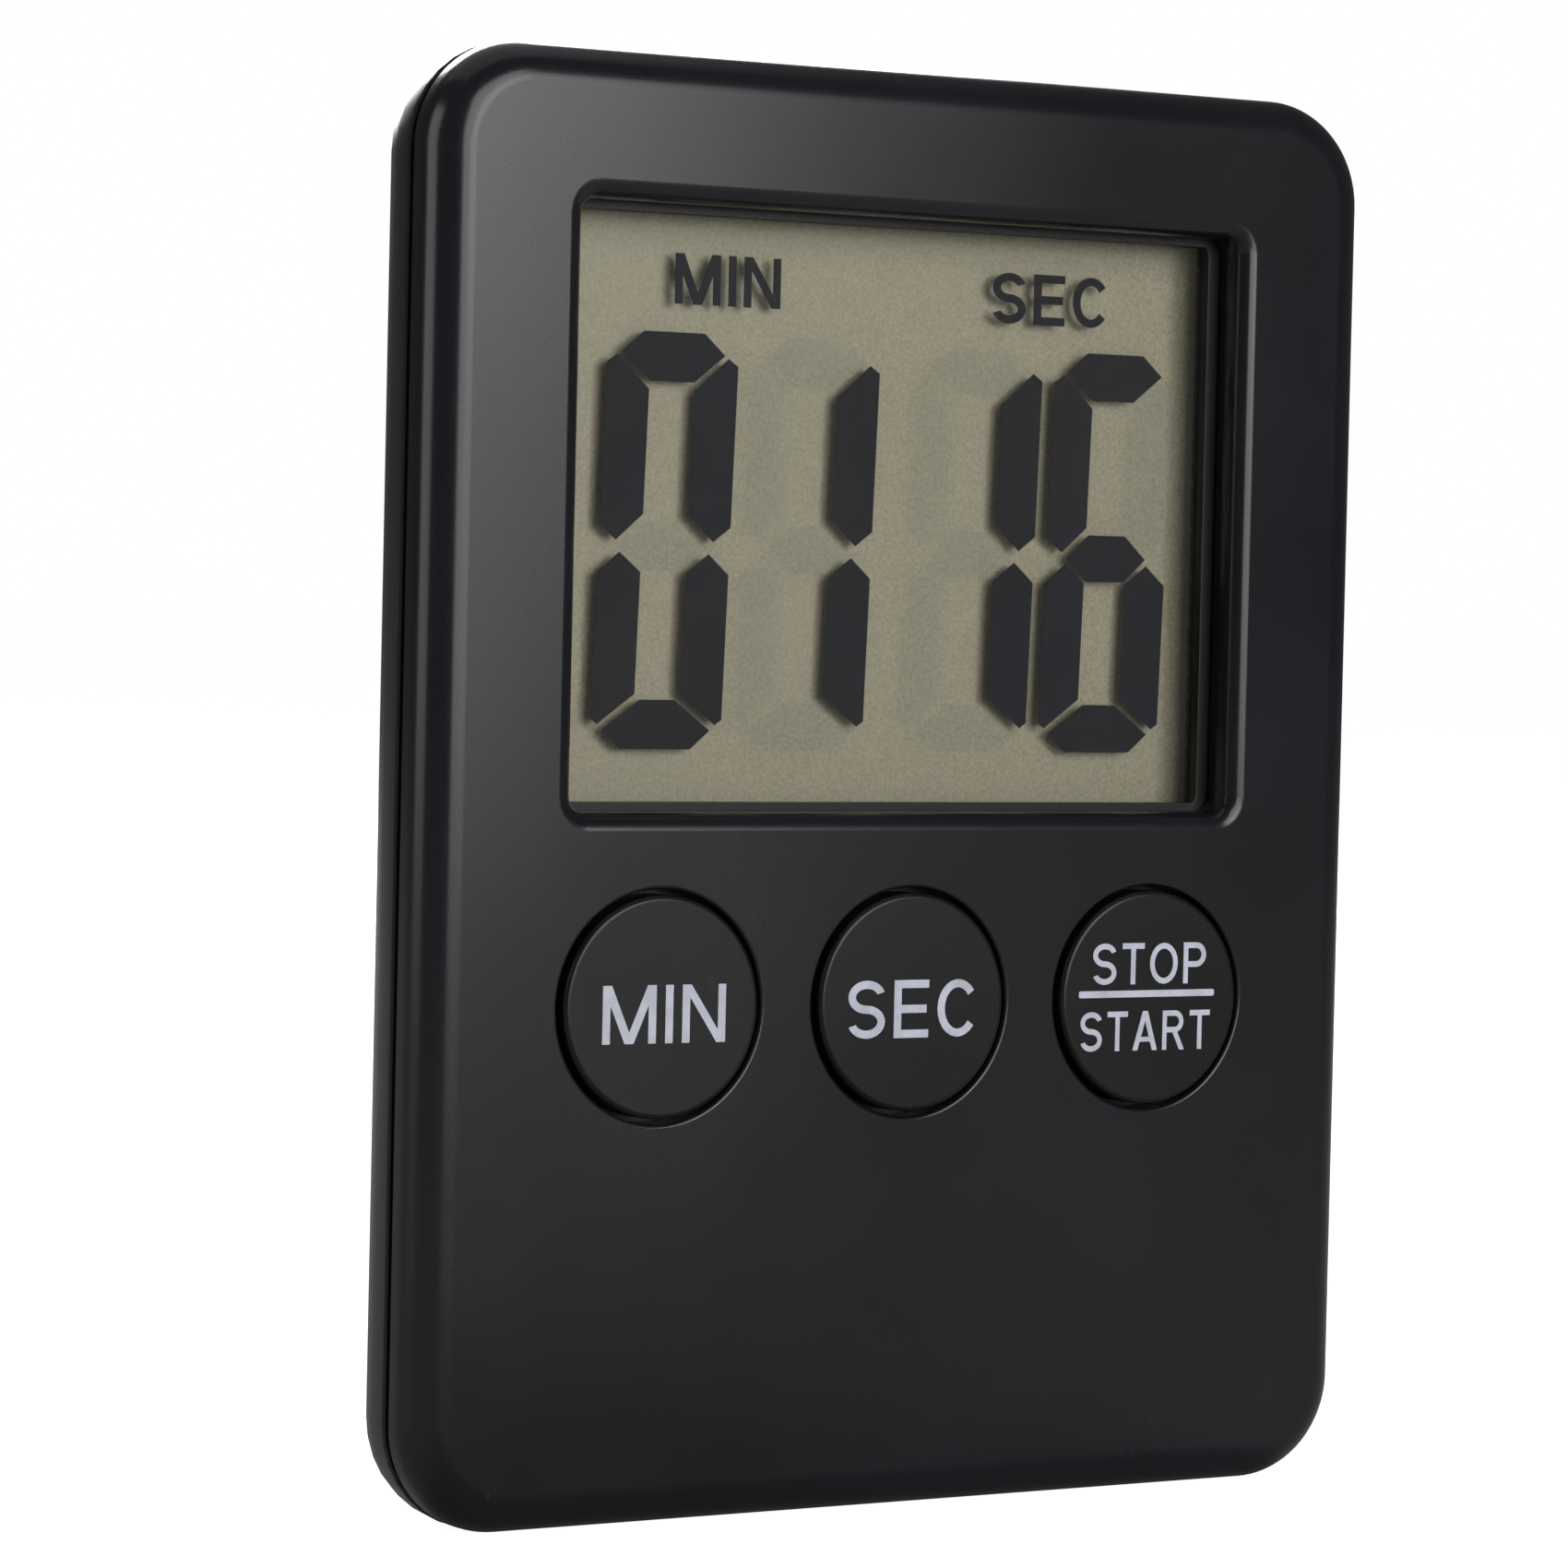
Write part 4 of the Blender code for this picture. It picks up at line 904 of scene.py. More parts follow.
def digits_tree() -> bpy.types.NodeTree:
    """Builds a tree that sets one digit shape at each point and keeps its chosen segments.

    Each point carries a whole number, code, whose bits say which segments are shown. Each
    face of the digit shape carries its segment's number.

    Returns:
        The geometry tree, with named inputs for the digit and the material.
    """
    kinds = {"Digit": "Object", "Material": "Material"}
    graph, given, result = new_tree("digit_row", kinds)
    digit = graph.add("GeometryNodeObjectInfo", {"Object": given["Digit"]})
    inputs = {"Points": given["Geometry"], "Instance": digit.outputs["Geometry"]}
    copies = graph.add("GeometryNodeInstanceOnPoints", inputs)
    whole = graph.add("GeometryNodeRealizeInstances", {0: copies.outputs[0]})
    code = graph.add("GeometryNodeInputNamedAttribute", {"Name": "code"}, data_type="INT")
    segment = graph.add("GeometryNodeInputNamedAttribute", {"Name": "segment"}, data_type="INT")
    place = graph.math("POWER", 2.0, segment.outputs["Attribute"])
    shifted = graph.math("FLOOR", graph.math("DIVIDE", code.outputs["Attribute"], place))
    dark = graph.math("LESS_THAN", graph.math("MODULO", shifted, 2.0), 0.5)
    inputs = {"Geometry": whole.outputs[0], "Selection": dark}
    kept = graph.add("GeometryNodeDeleteGeometry", inputs, domain="FACE", mode="ALL")
    return finished_tree(graph, kept.outputs[0], given["Material"], result)


def union_tree() -> bpy.types.NodeTree:
    """Builds a tree that makes overlapping closed strips into one skin.

    Returns:
        The geometry tree, with a named input for the material.
    """
    graph, given, result = new_tree("one_skin", {"Material": "Material"})
    inputs = {"Mesh 2": given["Geometry"], "Self Intersection": True}
    skinned = graph.add("GeometryNodeMeshBoolean", inputs, operation="UNION", solver="EXACT")
    return finished_tree(graph, skinned.outputs["Mesh"], given["Material"], result)


def with_nodes(
    target: bpy.types.Object,
    tree: bpy.types.NodeTree,
    **values: int | Vector | bpy.types.Object | bpy.types.Material,
) -> None:
    """Adds a geometry tree to an object and sets its inputs by their identifiers.

    Args:
        target: The object to change.
        tree: The geometry tree.
        **values: Input values by the input's name.
    """
    step = target.modifiers.new(tree.name, "NODES")
    step.node_group = tree
    for item in tree.interface.items_tree:
        if item.in_out == "INPUT" and item.name in values:
            step[item.identifier] = values[item.name]


# ------------------------------------------------------------------ the case


@dataclass
class FrontShell:
    """The shallow front tray: edge round, window, button holes and screw bosses."""

    corner: float = 5.8 * MM
    edge: float = 2.2 * MM
    wall: float = 1.6 * MM
    side_wall: float = 1.5 * MM
    rim: float = 2.95 * MM
    edge_break: float = 0.14 * MM
    window: Pair = (42.3 * MM, 32.2 * MM)
    window_top: float = 8.02 * MM
    window_corner: float = 0.9 * MM
    window_round: float = 1.05 * MM
    window_depth: float = 2.05 * MM
    skirt: float = 1.0 * MM
    hole_gap: float = 0.3 * MM
    hole_round: float = 0.22 * MM
    board_boss: float = 1.5 * MM
    board_boss_end: float = 4.75 * MM
    case_boss: float = 1.9 * MM
    case_boss_end: float = 7.0 * MM
    bore: Pair = (0.65 * MM, 0.75 * MM)
    corner_steps: int = 24
    edge_steps: int = 16
    window_corner_steps: int = 10
    window_round_steps: int = 12
    hole_round_steps: int = 5
    hole_steps: int = 96
    boss_steps: int = 32
    bore_steps: int = 24
    margin: float = 1.0 * MM

    def __post_init__(self) -> None:
        """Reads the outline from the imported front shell."""
        low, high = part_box("front_shell")
        self.front = low.y
        self.size = (high.x - low.x, high.z - low.z)
        self.middle = ((high.x + low.x) / 2, (high.z + low.z) / 2)
        up = high.z - self.window_top - self.window[1] / 2
        self.window_middle = (self.middle[0], up)

    def outline(self, inset: float, depth: float) -> list[Vector]:
        """The case outline drawn in by an inset.

        Args:
            inset: How far it is drawn in.
            depth: Its depth behind the front face.

        Returns:
            The ring's points.
        """
        size = (self.size[0] - 2 * inset, self.size[1] - 2 * inset)
        corner = self.corner - inset
        return plate_ring(size, corner, self.front + depth, self.middle, self.corner_steps)

    def opening(self, outset: float, depth: float) -> list[Vector]:
        """The window's wall line grown by an outset.

        Args:
            outset: How far it is grown.
            depth: Its depth behind the front face.

        Returns:
            The ring's points.
        """
        size = (self.window[0] + 2 * outset, self.window[1] + 2 * outset)
        corner = self.window_corner + outset
        y = self.front + depth
        return plate_ring(size, corner, y, self.window_middle, self.window_corner_steps)

    def tray(self) -> bpy.types.Object:
        """The tray without its openings.

        Returns:
            The new object.
        """
        edge = quarter_round(self.edge, self.edge_steps)
        rings = [self.outline(inset, depth) for inset, depth in edge]
        rings.append(self.outline(0.0, self.rim - self.edge_break))
        rings.append(self.outline(self.edge_break, self.rim))
        rings.append(self.outline(self.side_wall, self.rim))
        rings.append(self.outline(self.side_wall, self.wall))
        return lofted("tray", rings)

    def window_tool(self) -> bpy.types.Object:
        """The window's cutter, flared by its edge round.

        Returns:
            The new object.
        """
        rings = [self.opening(self.window_round, -self.margin)]
        for outset, depth in quarter_round(self.window_round, self.window_round_steps):
            rings.append(self.opening(outset, depth))
        rings.append(self.opening(0.0, self.window_depth + self.margin))
        return lofted("window_tool", rings)

    def hole_tool(self, radius: float) -> bpy.types.Object:
        """One button hole's cutter at the origin, with a small lead-in round.

        Args:
            radius: The hole's radius.

        Returns:
            The new object.
        """
        profile = [(radius + self.hole_round, self.front - self.margin)]
        for outset, depth in quarter_round(self.hole_round, self.hole_round_steps):
            profile.append((radius + outset, self.front + depth))
        profile.append((radius, self.front + self.wall + self.margin))
        return turned("hole_tool", profile, (0.0, 0.0), self.hole_steps)

    def bosses(self) -> Iterator[tuple[bpy.types.Object, Operation]]:
        """Each boss and its bore.

        Yields:
            The post or bore, and the operation that it takes.
        """
        rows = (
            ("board_screw", self.board_boss, self.board_boss_end, self.bore[0]),
            ("case_screw", self.case_boss, self.case_boss_end, self.bore[1]),
        )
        for label, radius, end, bore in rows:
            for number in range(1, 5):
                low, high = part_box(f"{label}_{number}")
                centre = ((low.x + high.x) / 2, (low.z + high.z) / 2)
                near = self.front + self.wall
                depths = (near - self.wall / 2, self.front + end)
                post = [(radius, y) for y in depths]
                name = f"{label}_post_{number}"
                yield turned(name, post, centre, self.boss_steps), Operation.JOIN
                hole = [(bore, y) for y in (near, depths[1] + self.margin)]
                name = f"{label}_bore_{number}"
                yield turned(name, hole, centre, self.bore_steps), Operation.CUT

    def build(self, cut: bpy.types.NodeTree, material: bpy.types.Material) -> None:
        """Makes the front shell.

        Args:
            cut: The tree that cuts a row of copies.
            material: The shell's finish.
        """
        tray = self.tray()
        collar = [self.opening(self.skirt, depth) for depth in (self.wall / 2, self.window_depth)]
        steps = [
            (lofted("skirt", collar), Operation.JOIN),
            (self.window_tool(), Operation.CUT),
            *self.bosses(),
        ]
        for tool, operation in steps:
            boolean(tray, tool, operation)
        low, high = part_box("button_min")
        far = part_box("button_start_stop")[0].x
        reach = (high.x - low.x) / 2
        radius = Buttons.cap + self.hole_gap
        first = Vector((low.x + reach, 0.0, (low.z + high.z) / 2))
        tool = self.hole_tool(radius)
        step = Vector(((far - low.x) / 2, 0.0, 0.0))
        with_nodes(tray, cut, Tool=tool, Count=3, Start=first, Step=step, Material=material)
        plain = settled(tray, "front_tray", [item[0] for item in steps] + [tool])
        piece = softened(plain, "front_shell_moulding")
        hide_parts("front_shell")
        dressed(piece, material, "case", "front_shell")


@dataclass
class RearShell:
    """The rear tray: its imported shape, with its shading softened between sharp edges."""

    node: str = "rear_shell"

    def build(self, material: bpy.types.Material) -> None:
        """Makes the rear shell.

        Args:
            material: The shell's finish.
        """
        piece = softened(cad_copy(self.node), f"{self.node}_moulding")
        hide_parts(self.node)
        dressed(piece, material, "case", self.node)


# --------------------------------------------------------------- the buttons


@dataclass(frozen=True)
class Legend:
    """One printed word or bar: its text, width, height and offset from a middle."""

    text: str
    width: float
    height: float
    across: float
    up: float


@dataclass(frozen=True)
class Lettering:
    """Plain sans-serif capitals drawn as strips, one unit high.

    A strip is a pair of equally long point lists, one for each of its long sides.
    """

    union: bpy.types.NodeTree
    ink: bpy.types.Material
    stroke: float = 0.17
    spacing: float = 0.17
    steps: int = 20

    WIDTHS: ClassVar[dict[str, float]] = {
        "A": 0.8,
        "C": 0.78,
        "E": 0.66,
        "M": 0.98,
        "N": 0.8,
        "O": 0.84,
        "P": 0.68,
        "R": 0.72,
        "S": 0.7,
        "T": 0.66,
    }

    def bar(self, left: float, low: float, right: float, high: float) -> Strip:
        """An upright or level bar."""
        return [(left, low), (left, high)], [(right, low), (right, high)]

    def slant(
        self, foot: float, top: float, width: float, low: float = 0.0, high: float = 1.0
    ) -> Strip:
        """A leaning bar with level ends, from its left corners and its level width."""
        return [(foot, low), (top, high)], [(foot + width, low), (top + width, high)]

    def arc(self, centre: Pair, radii: Pair, start: float, end: float) -> Strip:
        """A curved stroke round an ellipse.

        Args:
            centre: The ellipse's middle.
            radii: Its outer radii, across and up.
            start: The first angle, in degrees.
            end: The last angle, in degrees.

        Returns:
            The stroke's outer and inner side.
        """
        outer = []
        inner = []
        for step in range(self.steps + 1):
            angle = math.radians(start + (end - start) * step / self.steps)
            for side, shrink in ((outer, 0.0), (inner, self.stroke)):
                x = centre[0] + (radii[0] - shrink) * math.cos(angle)
                side.append((x, centre[1] + (radii[1] - shrink) * math.sin(angle)))
        return outer, inner

    def bowl(self, width: float, low: float) -> Iterator[Strip]:
        """The round part of P and R.

        Args:
            width: Its width.
            low: The height of its lower side.

        Yields:
            Its strips.
        """
        radius = (1.0 - low) / 2
        turn = width - radius
        thick = self.stroke
        yield self.bar(thick / 2, 1.0 - thick, turn, 1.0)
        yield self.bar(thick / 2, low, turn, low + thick)
        yield self.arc((turn, low + radius), (radius, radius), -90.0, 90.0)

    def glyph(self, letter: str, width: float) -> Iterator[Strip]:
        """The strips of one letter.

        Args:
            letter: The capital.
            width: Its width.

        Yields:
            Its strips.
        """
        thick = self.stroke
        half = width / 2
        wide = thick * 1.15
        if letter in "EIMNPR":
            yield self.bar(0.0, 0.0, thick, 1.0)
        if letter in "MN":
            yield self.bar(width - thick, 0.0, width, 1.0)
        if letter == "M":
            yield self.slant(half - wide / 2, 0.0, wide)
            yield self.slant(half - wide / 2, width - wide, wide)
        elif letter == "N":
            yield self.slant(width - wide, 0.0, wide)
        elif letter == "E":
            yield self.bar(0.0, 0.0, width, thick)
            yield self.bar(0.0, 0.5 - thick / 2, width * 0.94, 0.5 + thick / 2)
            yield self.bar(0.0, 1.0 - thick, width, 1.0)
        elif letter == "T":
            yield self.bar(half - thick / 2, 0.0, half + thick / 2, 1.0)
            yield self.bar(0.0, 1.0 - thick, width, 1.0)
        elif letter == "A":
            yield self.slant(0.0, half - wide / 2, wide)
            yield self.slant(width - wide, half - wide / 2, wide)
            yield self.bar(thick, 0.22, width - thick, 0.22 + thick * 0.9)
        elif letter == "P":
            yield from self.bowl(width, 0.4)
        elif letter == "R":
            yield from self.bowl(width * 0.95, 0.44)
            yield self.slant(width - wide, width * 0.42, wide, 0.0, 0.5)
        elif letter == "O":
            yield self.arc((half, 0.5), (half, 0.5), 0.0, 360.0)
        elif letter == "C":
            yield self.arc((half, 0.5), (half, 0.5), 38.0, 322.0)
        elif letter == "S":
            rise = 0.25 + thick / 4
            yield self.arc((half, 1.0 - rise), (half, rise), 18.0, 270.0)
            yield self.arc((half, rise), (half, rise), 90.0, -162.0)

    def strips(self, text: str) -> tuple[list[list[Side]], float]:
        """Sets the letters of a word side by side.

        Args:
            text: The word.

        Returns:
            All its strips, and its width.
        """
        found = []
        start = 0.0
        for letter in text:
            width = self.WIDTHS.get(letter, self.stroke)
            for sides in self.glyph(letter, width):
                found.append([[(x + start, z) for x, z in side] for side in sides])
            start += width + self.spacing
        return found, start - self.spacing

    def word(self, legend: Legend, name: str, centre: Pair, planes: Pair) -> bpy.types.Object:
        """A word as thin closed strips that face -Y.

        Args:
            legend: The word and its size.
            name: The object's name.
            centre: The point that its offsets count from.
            planes: Where it starts and ends along the depth.

        Returns:
            The new object.
        """
        strips, length = self.strips(legend.text)
        left = centre[0] + legend.across - legend.width / 2
        foot = centre[1] + legend.up - legend.height / 2
        edit = bmesh.new()
        for outer, inner in strips:
            loops = []
            for first, second in zip(outer, inner):
                near, far = planes
                loop = []
                for (x, z), y in ((first, near), (second, near), (second, far), (first, far)):
                    place = (left + x * legend.width / length, y, foot + z * legend.height)
                    loop.append(edit.verts.new(place))
                loops.append(loop)
            skin(edit, loops)
        bmesh.ops.recalc_face_normals(edit, faces=edit.faces)
        source = linked(edit, name)
        with_nodes(source, self.union, Material=self.ink)
        return settled(source, name)


@dataclass
class Buttons:
    """Three round push buttons with printed legends."""

    cap: float = 5.95 * MM
    edge: float = 0.3 * MM
    flange_start: float = 1.9 * MM
    flange_end: float = 2.4 * MM
    stem: float = 2.0 * MM
    ink: float = 0.02 * MM
    stroke: float = 0.14
    edge_steps: int = 7
    round_steps: int = 96
    bar_end_steps: int = 4

    LEGENDS: ClassVar[dict[str, tuple[Legend, ...]]] = {
        "button_min": (Legend("MIN", 7.55 * MM, 3.1 * MM, 0.1 * MM, -0.35 * MM),),
        "button_sec": (Legend("SEC", 8.4 * MM, 3.15 * MM, 0.05 * MM, -0.35 * MM),),
        "button_start_stop": (
            Legend("STOP", 7.7 * MM, 2.3 * MM, -0.05 * MM, 1.9 * MM),
            Legend("START", 8.8 * MM, 2.2 * MM, -0.25 * MM, -1.85 * MM),
        ),
    }
    BAR: ClassVar[Legend] = Legend("", 9.2 * MM, 0.38 * MM, -0.2 * MM, 0.22 * MM)
    BAR_CORNER: ClassVar[float] = 0.3

    def cap_mesh(self, node: str, low: Vector, high: Vector) -> bpy.types.Object:
        """One button's cap, flange and stem, finely turned.

        Args:
            node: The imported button.
            low: The least corner of its box.
            high: The greatest corner of its box.

        Returns:
            The new object.
        """
        flange = (high.x - low.x) / 2
        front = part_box("front_shell")[0].y
        face = low.y + self.ink
        edge = quarter_round(self.edge, self.edge_steps)
        profile = [(self.cap - inset, face + depth) for inset, depth in edge]
        profile.append((self.cap, front + self.flange_start))
        profile.append((flange, front + self.flange_start))
        profile.append((flange, front + self.flange_end))
        profile.append((self.stem, front + self.flange_end))
        profile.append((self.stem, high.y))
        centre = (low.x + flange, (low.z + high.z) / 2)
        return turned(f"{node}_cap", profile, centre, self.round_steps)

    def bar_mesh(self, name: str, centre: Pair, planes: Pair) -> bpy.types.Object:
        """The printed bar between two words, with round ends.

        Args:
            name: The object's name.
            centre: The button's middle, across and up.
            planes: Where it starts and ends along the depth.

        Returns:
            The new object.
        """
        middle = (centre[0] + self.BAR.across, centre[1] + self.BAR.up)
        size = (self.BAR.width, self.BAR.height)
        corner = self.BAR.height * self.BAR_CORNER
        rings = [plate_ring(size, corner, y, middle, self.bar_end_steps) for y in planes]
        return lofted(name, rings)

    def build(
        self, union: bpy.types.NodeTree, cap: bpy.types.Material, ink: bpy.types.Material
    ) -> None:
        """Makes the caps and their legends.

        Args:
            union: The tree that makes a word one skin.
            cap: The caps' finish.
            ink: The legends' finish.
        """
        lettering = Lettering(union, ink, self.stroke)
        for node, legends in self.LEGENDS.items():
            low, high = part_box(node)
            piece = softened(self.cap_mesh(node, low, high), f"{node}_moulding")
            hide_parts(node)
            dressed(piece, cap, node, "button")
            centre = ((low.x + high.x) / 2, (low.z + high.z) / 2)
            for legend in legends:
                name = f"{node}_legend_{legend.text.lower()}"
                word = lettering.word(legend, name, centre, (low.y, low.y + self.ink))
                dressed(word, ink, node, "button")
            if len(legends) > 1:
                bar = self.bar_mesh(f"{node}_bar", centre, (low.y, low.y + self.ink))
                dressed(bar, ink, node, "button")


# --------------------------------------------------------------- the display


@dataclass
class Display:
    """The liquid-crystal display: seven-segment digits, legends and their clear layers."""

    width: float = 8.15 * MM
    height: float = 22.35 * MM
    bar: float = 2.65 * MM
    foot: float = 41.2 * MM
    slant: float = math.tan(math.radians(1.8))
    layer: float = 0.03 * MM
    lefts: tuple[float, ...] = (-18.21 * MM, -9.15 * MM, 1.62 * MM, 10.58 * MM)
    stroke: float = 0.165
    shown: tuple[int, ...] = (0, 1, 1, 6)

    SEGMENTS: ClassVar[dict[int, int]] = {0: 0b0111111, 1: 0b0000110, 6: 0b1111101}
    ALL: ClassVar[int] = 0b1111111

    def outlines(self) -> list[list[Pair]]:
        """The seven segments of a digit, from the top one clockwise and the middle one last.

        Returns:
            Their outlines, in millimetres.
        """
        w, h, b = self.width / MM, self.height / MM, self.bar / MM
        half = h / 2 - 0.3
        top = [(0.85, h - 1.15), (2.2, h), (w - 2.2, h), (w - 0.85, h - 1.15)]
        top += [(w - 2.72, h - 2.65), (2.72, h - 2.65)]
        upper = [(0.62, h - 1.3), (0.0, h - 1.7), (0.0, half + 1.1), (1.05, half + 0.3)]
        upper += [(b, half + 1.7), (b, h - 3.1)]
        lower = [(1.3, half - 0.35), (0.0, half - 1.45), (0.0, 1.6), (0.42, 1.32)]
        lower += [(b, 2.95), (b, half - 1.4)]
        bottom = [(0.72, 1.02), (1.9, 0.0), (w - 1.9, 0.0), (w - 0.72, 1.02)]
        bottom += [(w - 3.0, 2.65), (3.0, 2.65)]
        middle = [(1.4, half), (2.85, half + 1.3), (w - 2.85, half + 1.3), (w - 1.4, half)]
        middle += [(w - 2.8, half - 1.3), (2.8, half - 1.3)]

        def mirrored(points: list[Pair]) -> list[Pair]:
            """The outline on the digit's other side."""
            return [(w - x, z) for x, z in points]

        return [top, mirrored(upper), mirrored(lower), bottom, lower, upper, middle]

    def digit(self, y: float) -> bpy.types.Object:
        """One whole digit at the origin, each face marked with its segment's number.

        Args:
            y: Where its front lies along the depth.

        Returns:
            The new object.
        """
        edit = bmesh.new()
        mark = edit.faces.layers.int.new("segment")
        for number, outline in enumerate(self.outlines()):
            loops = []
            for plane in (y, y + self.layer):
                ring = []
                for x, z in outline:
                    lean = self.slant * z * MM
                    ring.append(edit.verts.new((x * MM + lean, plane, z * MM)))
                loops.append(ring)
            faces = [edit.faces.new(loops[0]), edit.faces.new(loops[1])]
            for i in range(len(outline)):
                j = (i + 1) % len(outline)
                corners = (loops[0][i], loops[0][j], loops[1][j], loops[1][i])
                faces.append(edit.faces.new(corners))
            for made in faces:
                made[mark] = number
        return from_bmesh(edit, "digit")

    def row(
        self,
        name: str,
        codes: Sequence[int],
        tree: bpy.types.NodeTree,
        material: bpy.types.Material,
    ) -> bpy.types.Object:
        """The digits whose codes say which segments are there.

        Args:
            name: The piece's name.
            codes: One code to each digit.
            tree: The digit row's geometry tree.
            material: The segments' finish.

        Returns:
            The finished piece.
        """
        digit = self.digit(self.plane)
        mesh = bpy.data.meshes.new(name)
        mesh.from_pydata([(left, 0.0, self.foot) for left in self.lefts], [], [])
        values = mesh.attributes.new("code", "INT", "POINT")
        for item, code in zip(values.data, codes):
            item.value = code
        source = placed(mesh, name)
        with_nodes(source, tree, Digit=digit, Material=material)
        return settled(source, name, [digit])

    def build(self, tree: bpy.types.NodeTree, union: bpy.types.NodeTree) -> None:
        """Makes the digits, legends and layers.

        Args:
            tree: The digit row's geometry tree.
            union: The tree that makes a word one skin.
        """
        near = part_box("front_glass")[1].y
        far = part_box("rear_glass")[0].y
        self.plane = (near + far - self.layer) / 2
        dye = DisplaySegment("segment_dye").build()
        veil = DisplaySegment("unlit_segment", (0.17, 0.25, 0.16), 0.05).build()
        lit = [self.SEGMENTS[value] for value in self.shown]
        dressed(self.row("display_digits", lit, tree, dye), dye, "case", "front_polariser")
        unlit = [self.ALL - code for code in lit]
        ghost = self.row("display_unlit_segments", unlit, tree, veil)
        dressed(ghost, veil, "case", "front_polariser")
        words = (
            ("display_min", Legend("MIN", 6.64 * MM, 2.72 * MM, -10.16 * MM, 66.43 * MM)),
            ("display_sec", Legend("SEC", 7.85 * MM, 2.82 * MM, 10.88 * MM, 66.38 * MM)),
        )
        for name, legend in words:
            planes = (self.plane, self.plane + self.layer)
            word = Lettering(union, dye, self.stroke).word(legend, name, (0.0, 0.0), planes)
            dressed(word, dye, "case", "front_polariser")
        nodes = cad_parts
        film = ClearLayer("polariser_film", (0.5, 0.47, 0.38), 0.016, 0.35).build()
        glass = ClearLayer("display_glass", (0.6, 0.64, 0.6), 0.006, 0.1).build()
        finishes = {
            "front_polariser": film,
            "front_glass": glass,
            "rear_glass": glass,
            "reflector": DisplayReflector("reflector_film").build(),
        }
        for node, material in finishes.items():
            nodes[node].data.materials.clear()
            nodes[node].data.materials.append(material)
            LOG.info("%s: keeps its shape, finish %s", node, material.name)
        holder = MouldedPlastic("holder_black", (0.008, 0.008, 0.009), 0.42, 0.3, 0.3, 0.06)
        piece = softened(cad_copy("display_frame"), "display_frame_moulding", 0.06 * MM)
        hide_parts("display_frame")
        dressed(piece, holder.build(), "case", "display_frame")


# ----------------------------------------------------- back and inner pieces


@dataclass
class Fittings:
    """Stand, cover, magnets, screws and everything inside the case."""

    bevel: float = 0.05 * MM
    contact_bevel: float = 0.02 * MM

    def softened_node(
        self, node: str, body: str, slot: str, material: bpy.types.Material, bevel: float = 0.0
    ) -> None:
        """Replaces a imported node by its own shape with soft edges.

        Args:
            node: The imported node.
            body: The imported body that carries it.
            slot: The record's material slot.
            material: Its finish.
            bevel: Width of the softening of its sharp edges, or 0 for none.
        """
        piece = softened(cad_copy(node), f"{node}_finished", bevel)
        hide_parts(node)
        dressed(piece, material, body, slot)

    def recipes(self) -> dict[str, PlatedMetal | SoftMatte | BoardMask]:
        """The finish of each piece that has a slot of its own, by its node.

        Returns:
            The finishes, not yet built.
        """
        silver = (0.6, 0.6, 0.58)
        soot = (0.03, 0.03, 0.03)
        return {
            "button_cell": PlatedMetal("cell_nickel", (0.72, 0.72, 0.7), 0.2, 0.1),
            "crystal": PlatedMetal("crystal_can", (0.66, 0.66, 0.65), 0.25, 0.15),
            "buzzer_disc": PlatedMetal("disc_brass", (0.78, 0.57, 0.24), 0.25, 0.3),
            "buzzer_coil": PlatedMetal("coil_copper", (0.72, 0.3, 0.12), 0.3, 0.3),
            "chip_cover": SoftMatte("potting", (0.012, 0.012, 0.013), 0.3),
            "buzzer_ceramic": SoftMatte("ceramic", (0.75, 0.74, 0.7), 0.45),
            "rubber_keypad": SoftMatte("silicone", (0.28, 0.28, 0.27), 0.65),
            "buzzer_wire_red": SoftMatte("red_sleeve", (0.5, 0.02, 0.02), 0.4),
            "buzzer_wire_black": SoftMatte("black_sleeve", (0.012, 0.012, 0.012), 0.4),
            "circuit_board": BoardMask("solder_mask"),
            "capacitor": SoftMatte("capacitor_case", (0.5, 0.32, 0.1), 0.4, silver, 150.0),
            "rubber_connector": SoftMatte("striped_rubber", (0.6, 0.25, 0.2), 0.6, soot, 1600.0),
        }

    def build(self) -> None:
        """Makes every remaining piece."""
        black = MouldedPlastic("fitting_black", (0.013, 0.013, 0.015), 0.3, 0.36, 0.14, 0.2).build()
        for body in ("stand", "battery_cover"):
            self.softened_node(body, body, body, black, self.bevel)
        nickel = PlatedMetal("magnet_nickel", (0.5, 0.5, 0.51), 0.24, 0.18).build()
        for side in ("left", "right"):
            self.softened_node(f"magnet_{side}", "case", "magnet", nickel)
        zinc = PlatedMetal("screw_zinc", (0.62, 0.61, 0.57), 0.26, 0.35).build()
        for label in ("case", "board"):
            for number in range(1, 5):
                self.softened_node(f"{label}_screw_{number}", "case", "screw", zinc)
        for node, recipe in self.recipes().items():
            self.softened_node(node, "case", node, recipe.build())
        spring = PlatedMetal("contact_nickel", (0.75, 0.7, 0.55), 0.22, 0.2).build()
        for sign in ("negative", "positive"):
            self.softened_node(f"contact_{sign}", "case", "contact", spring, self.contact_bevel)


# ---------------------------------------------------------------- the studio


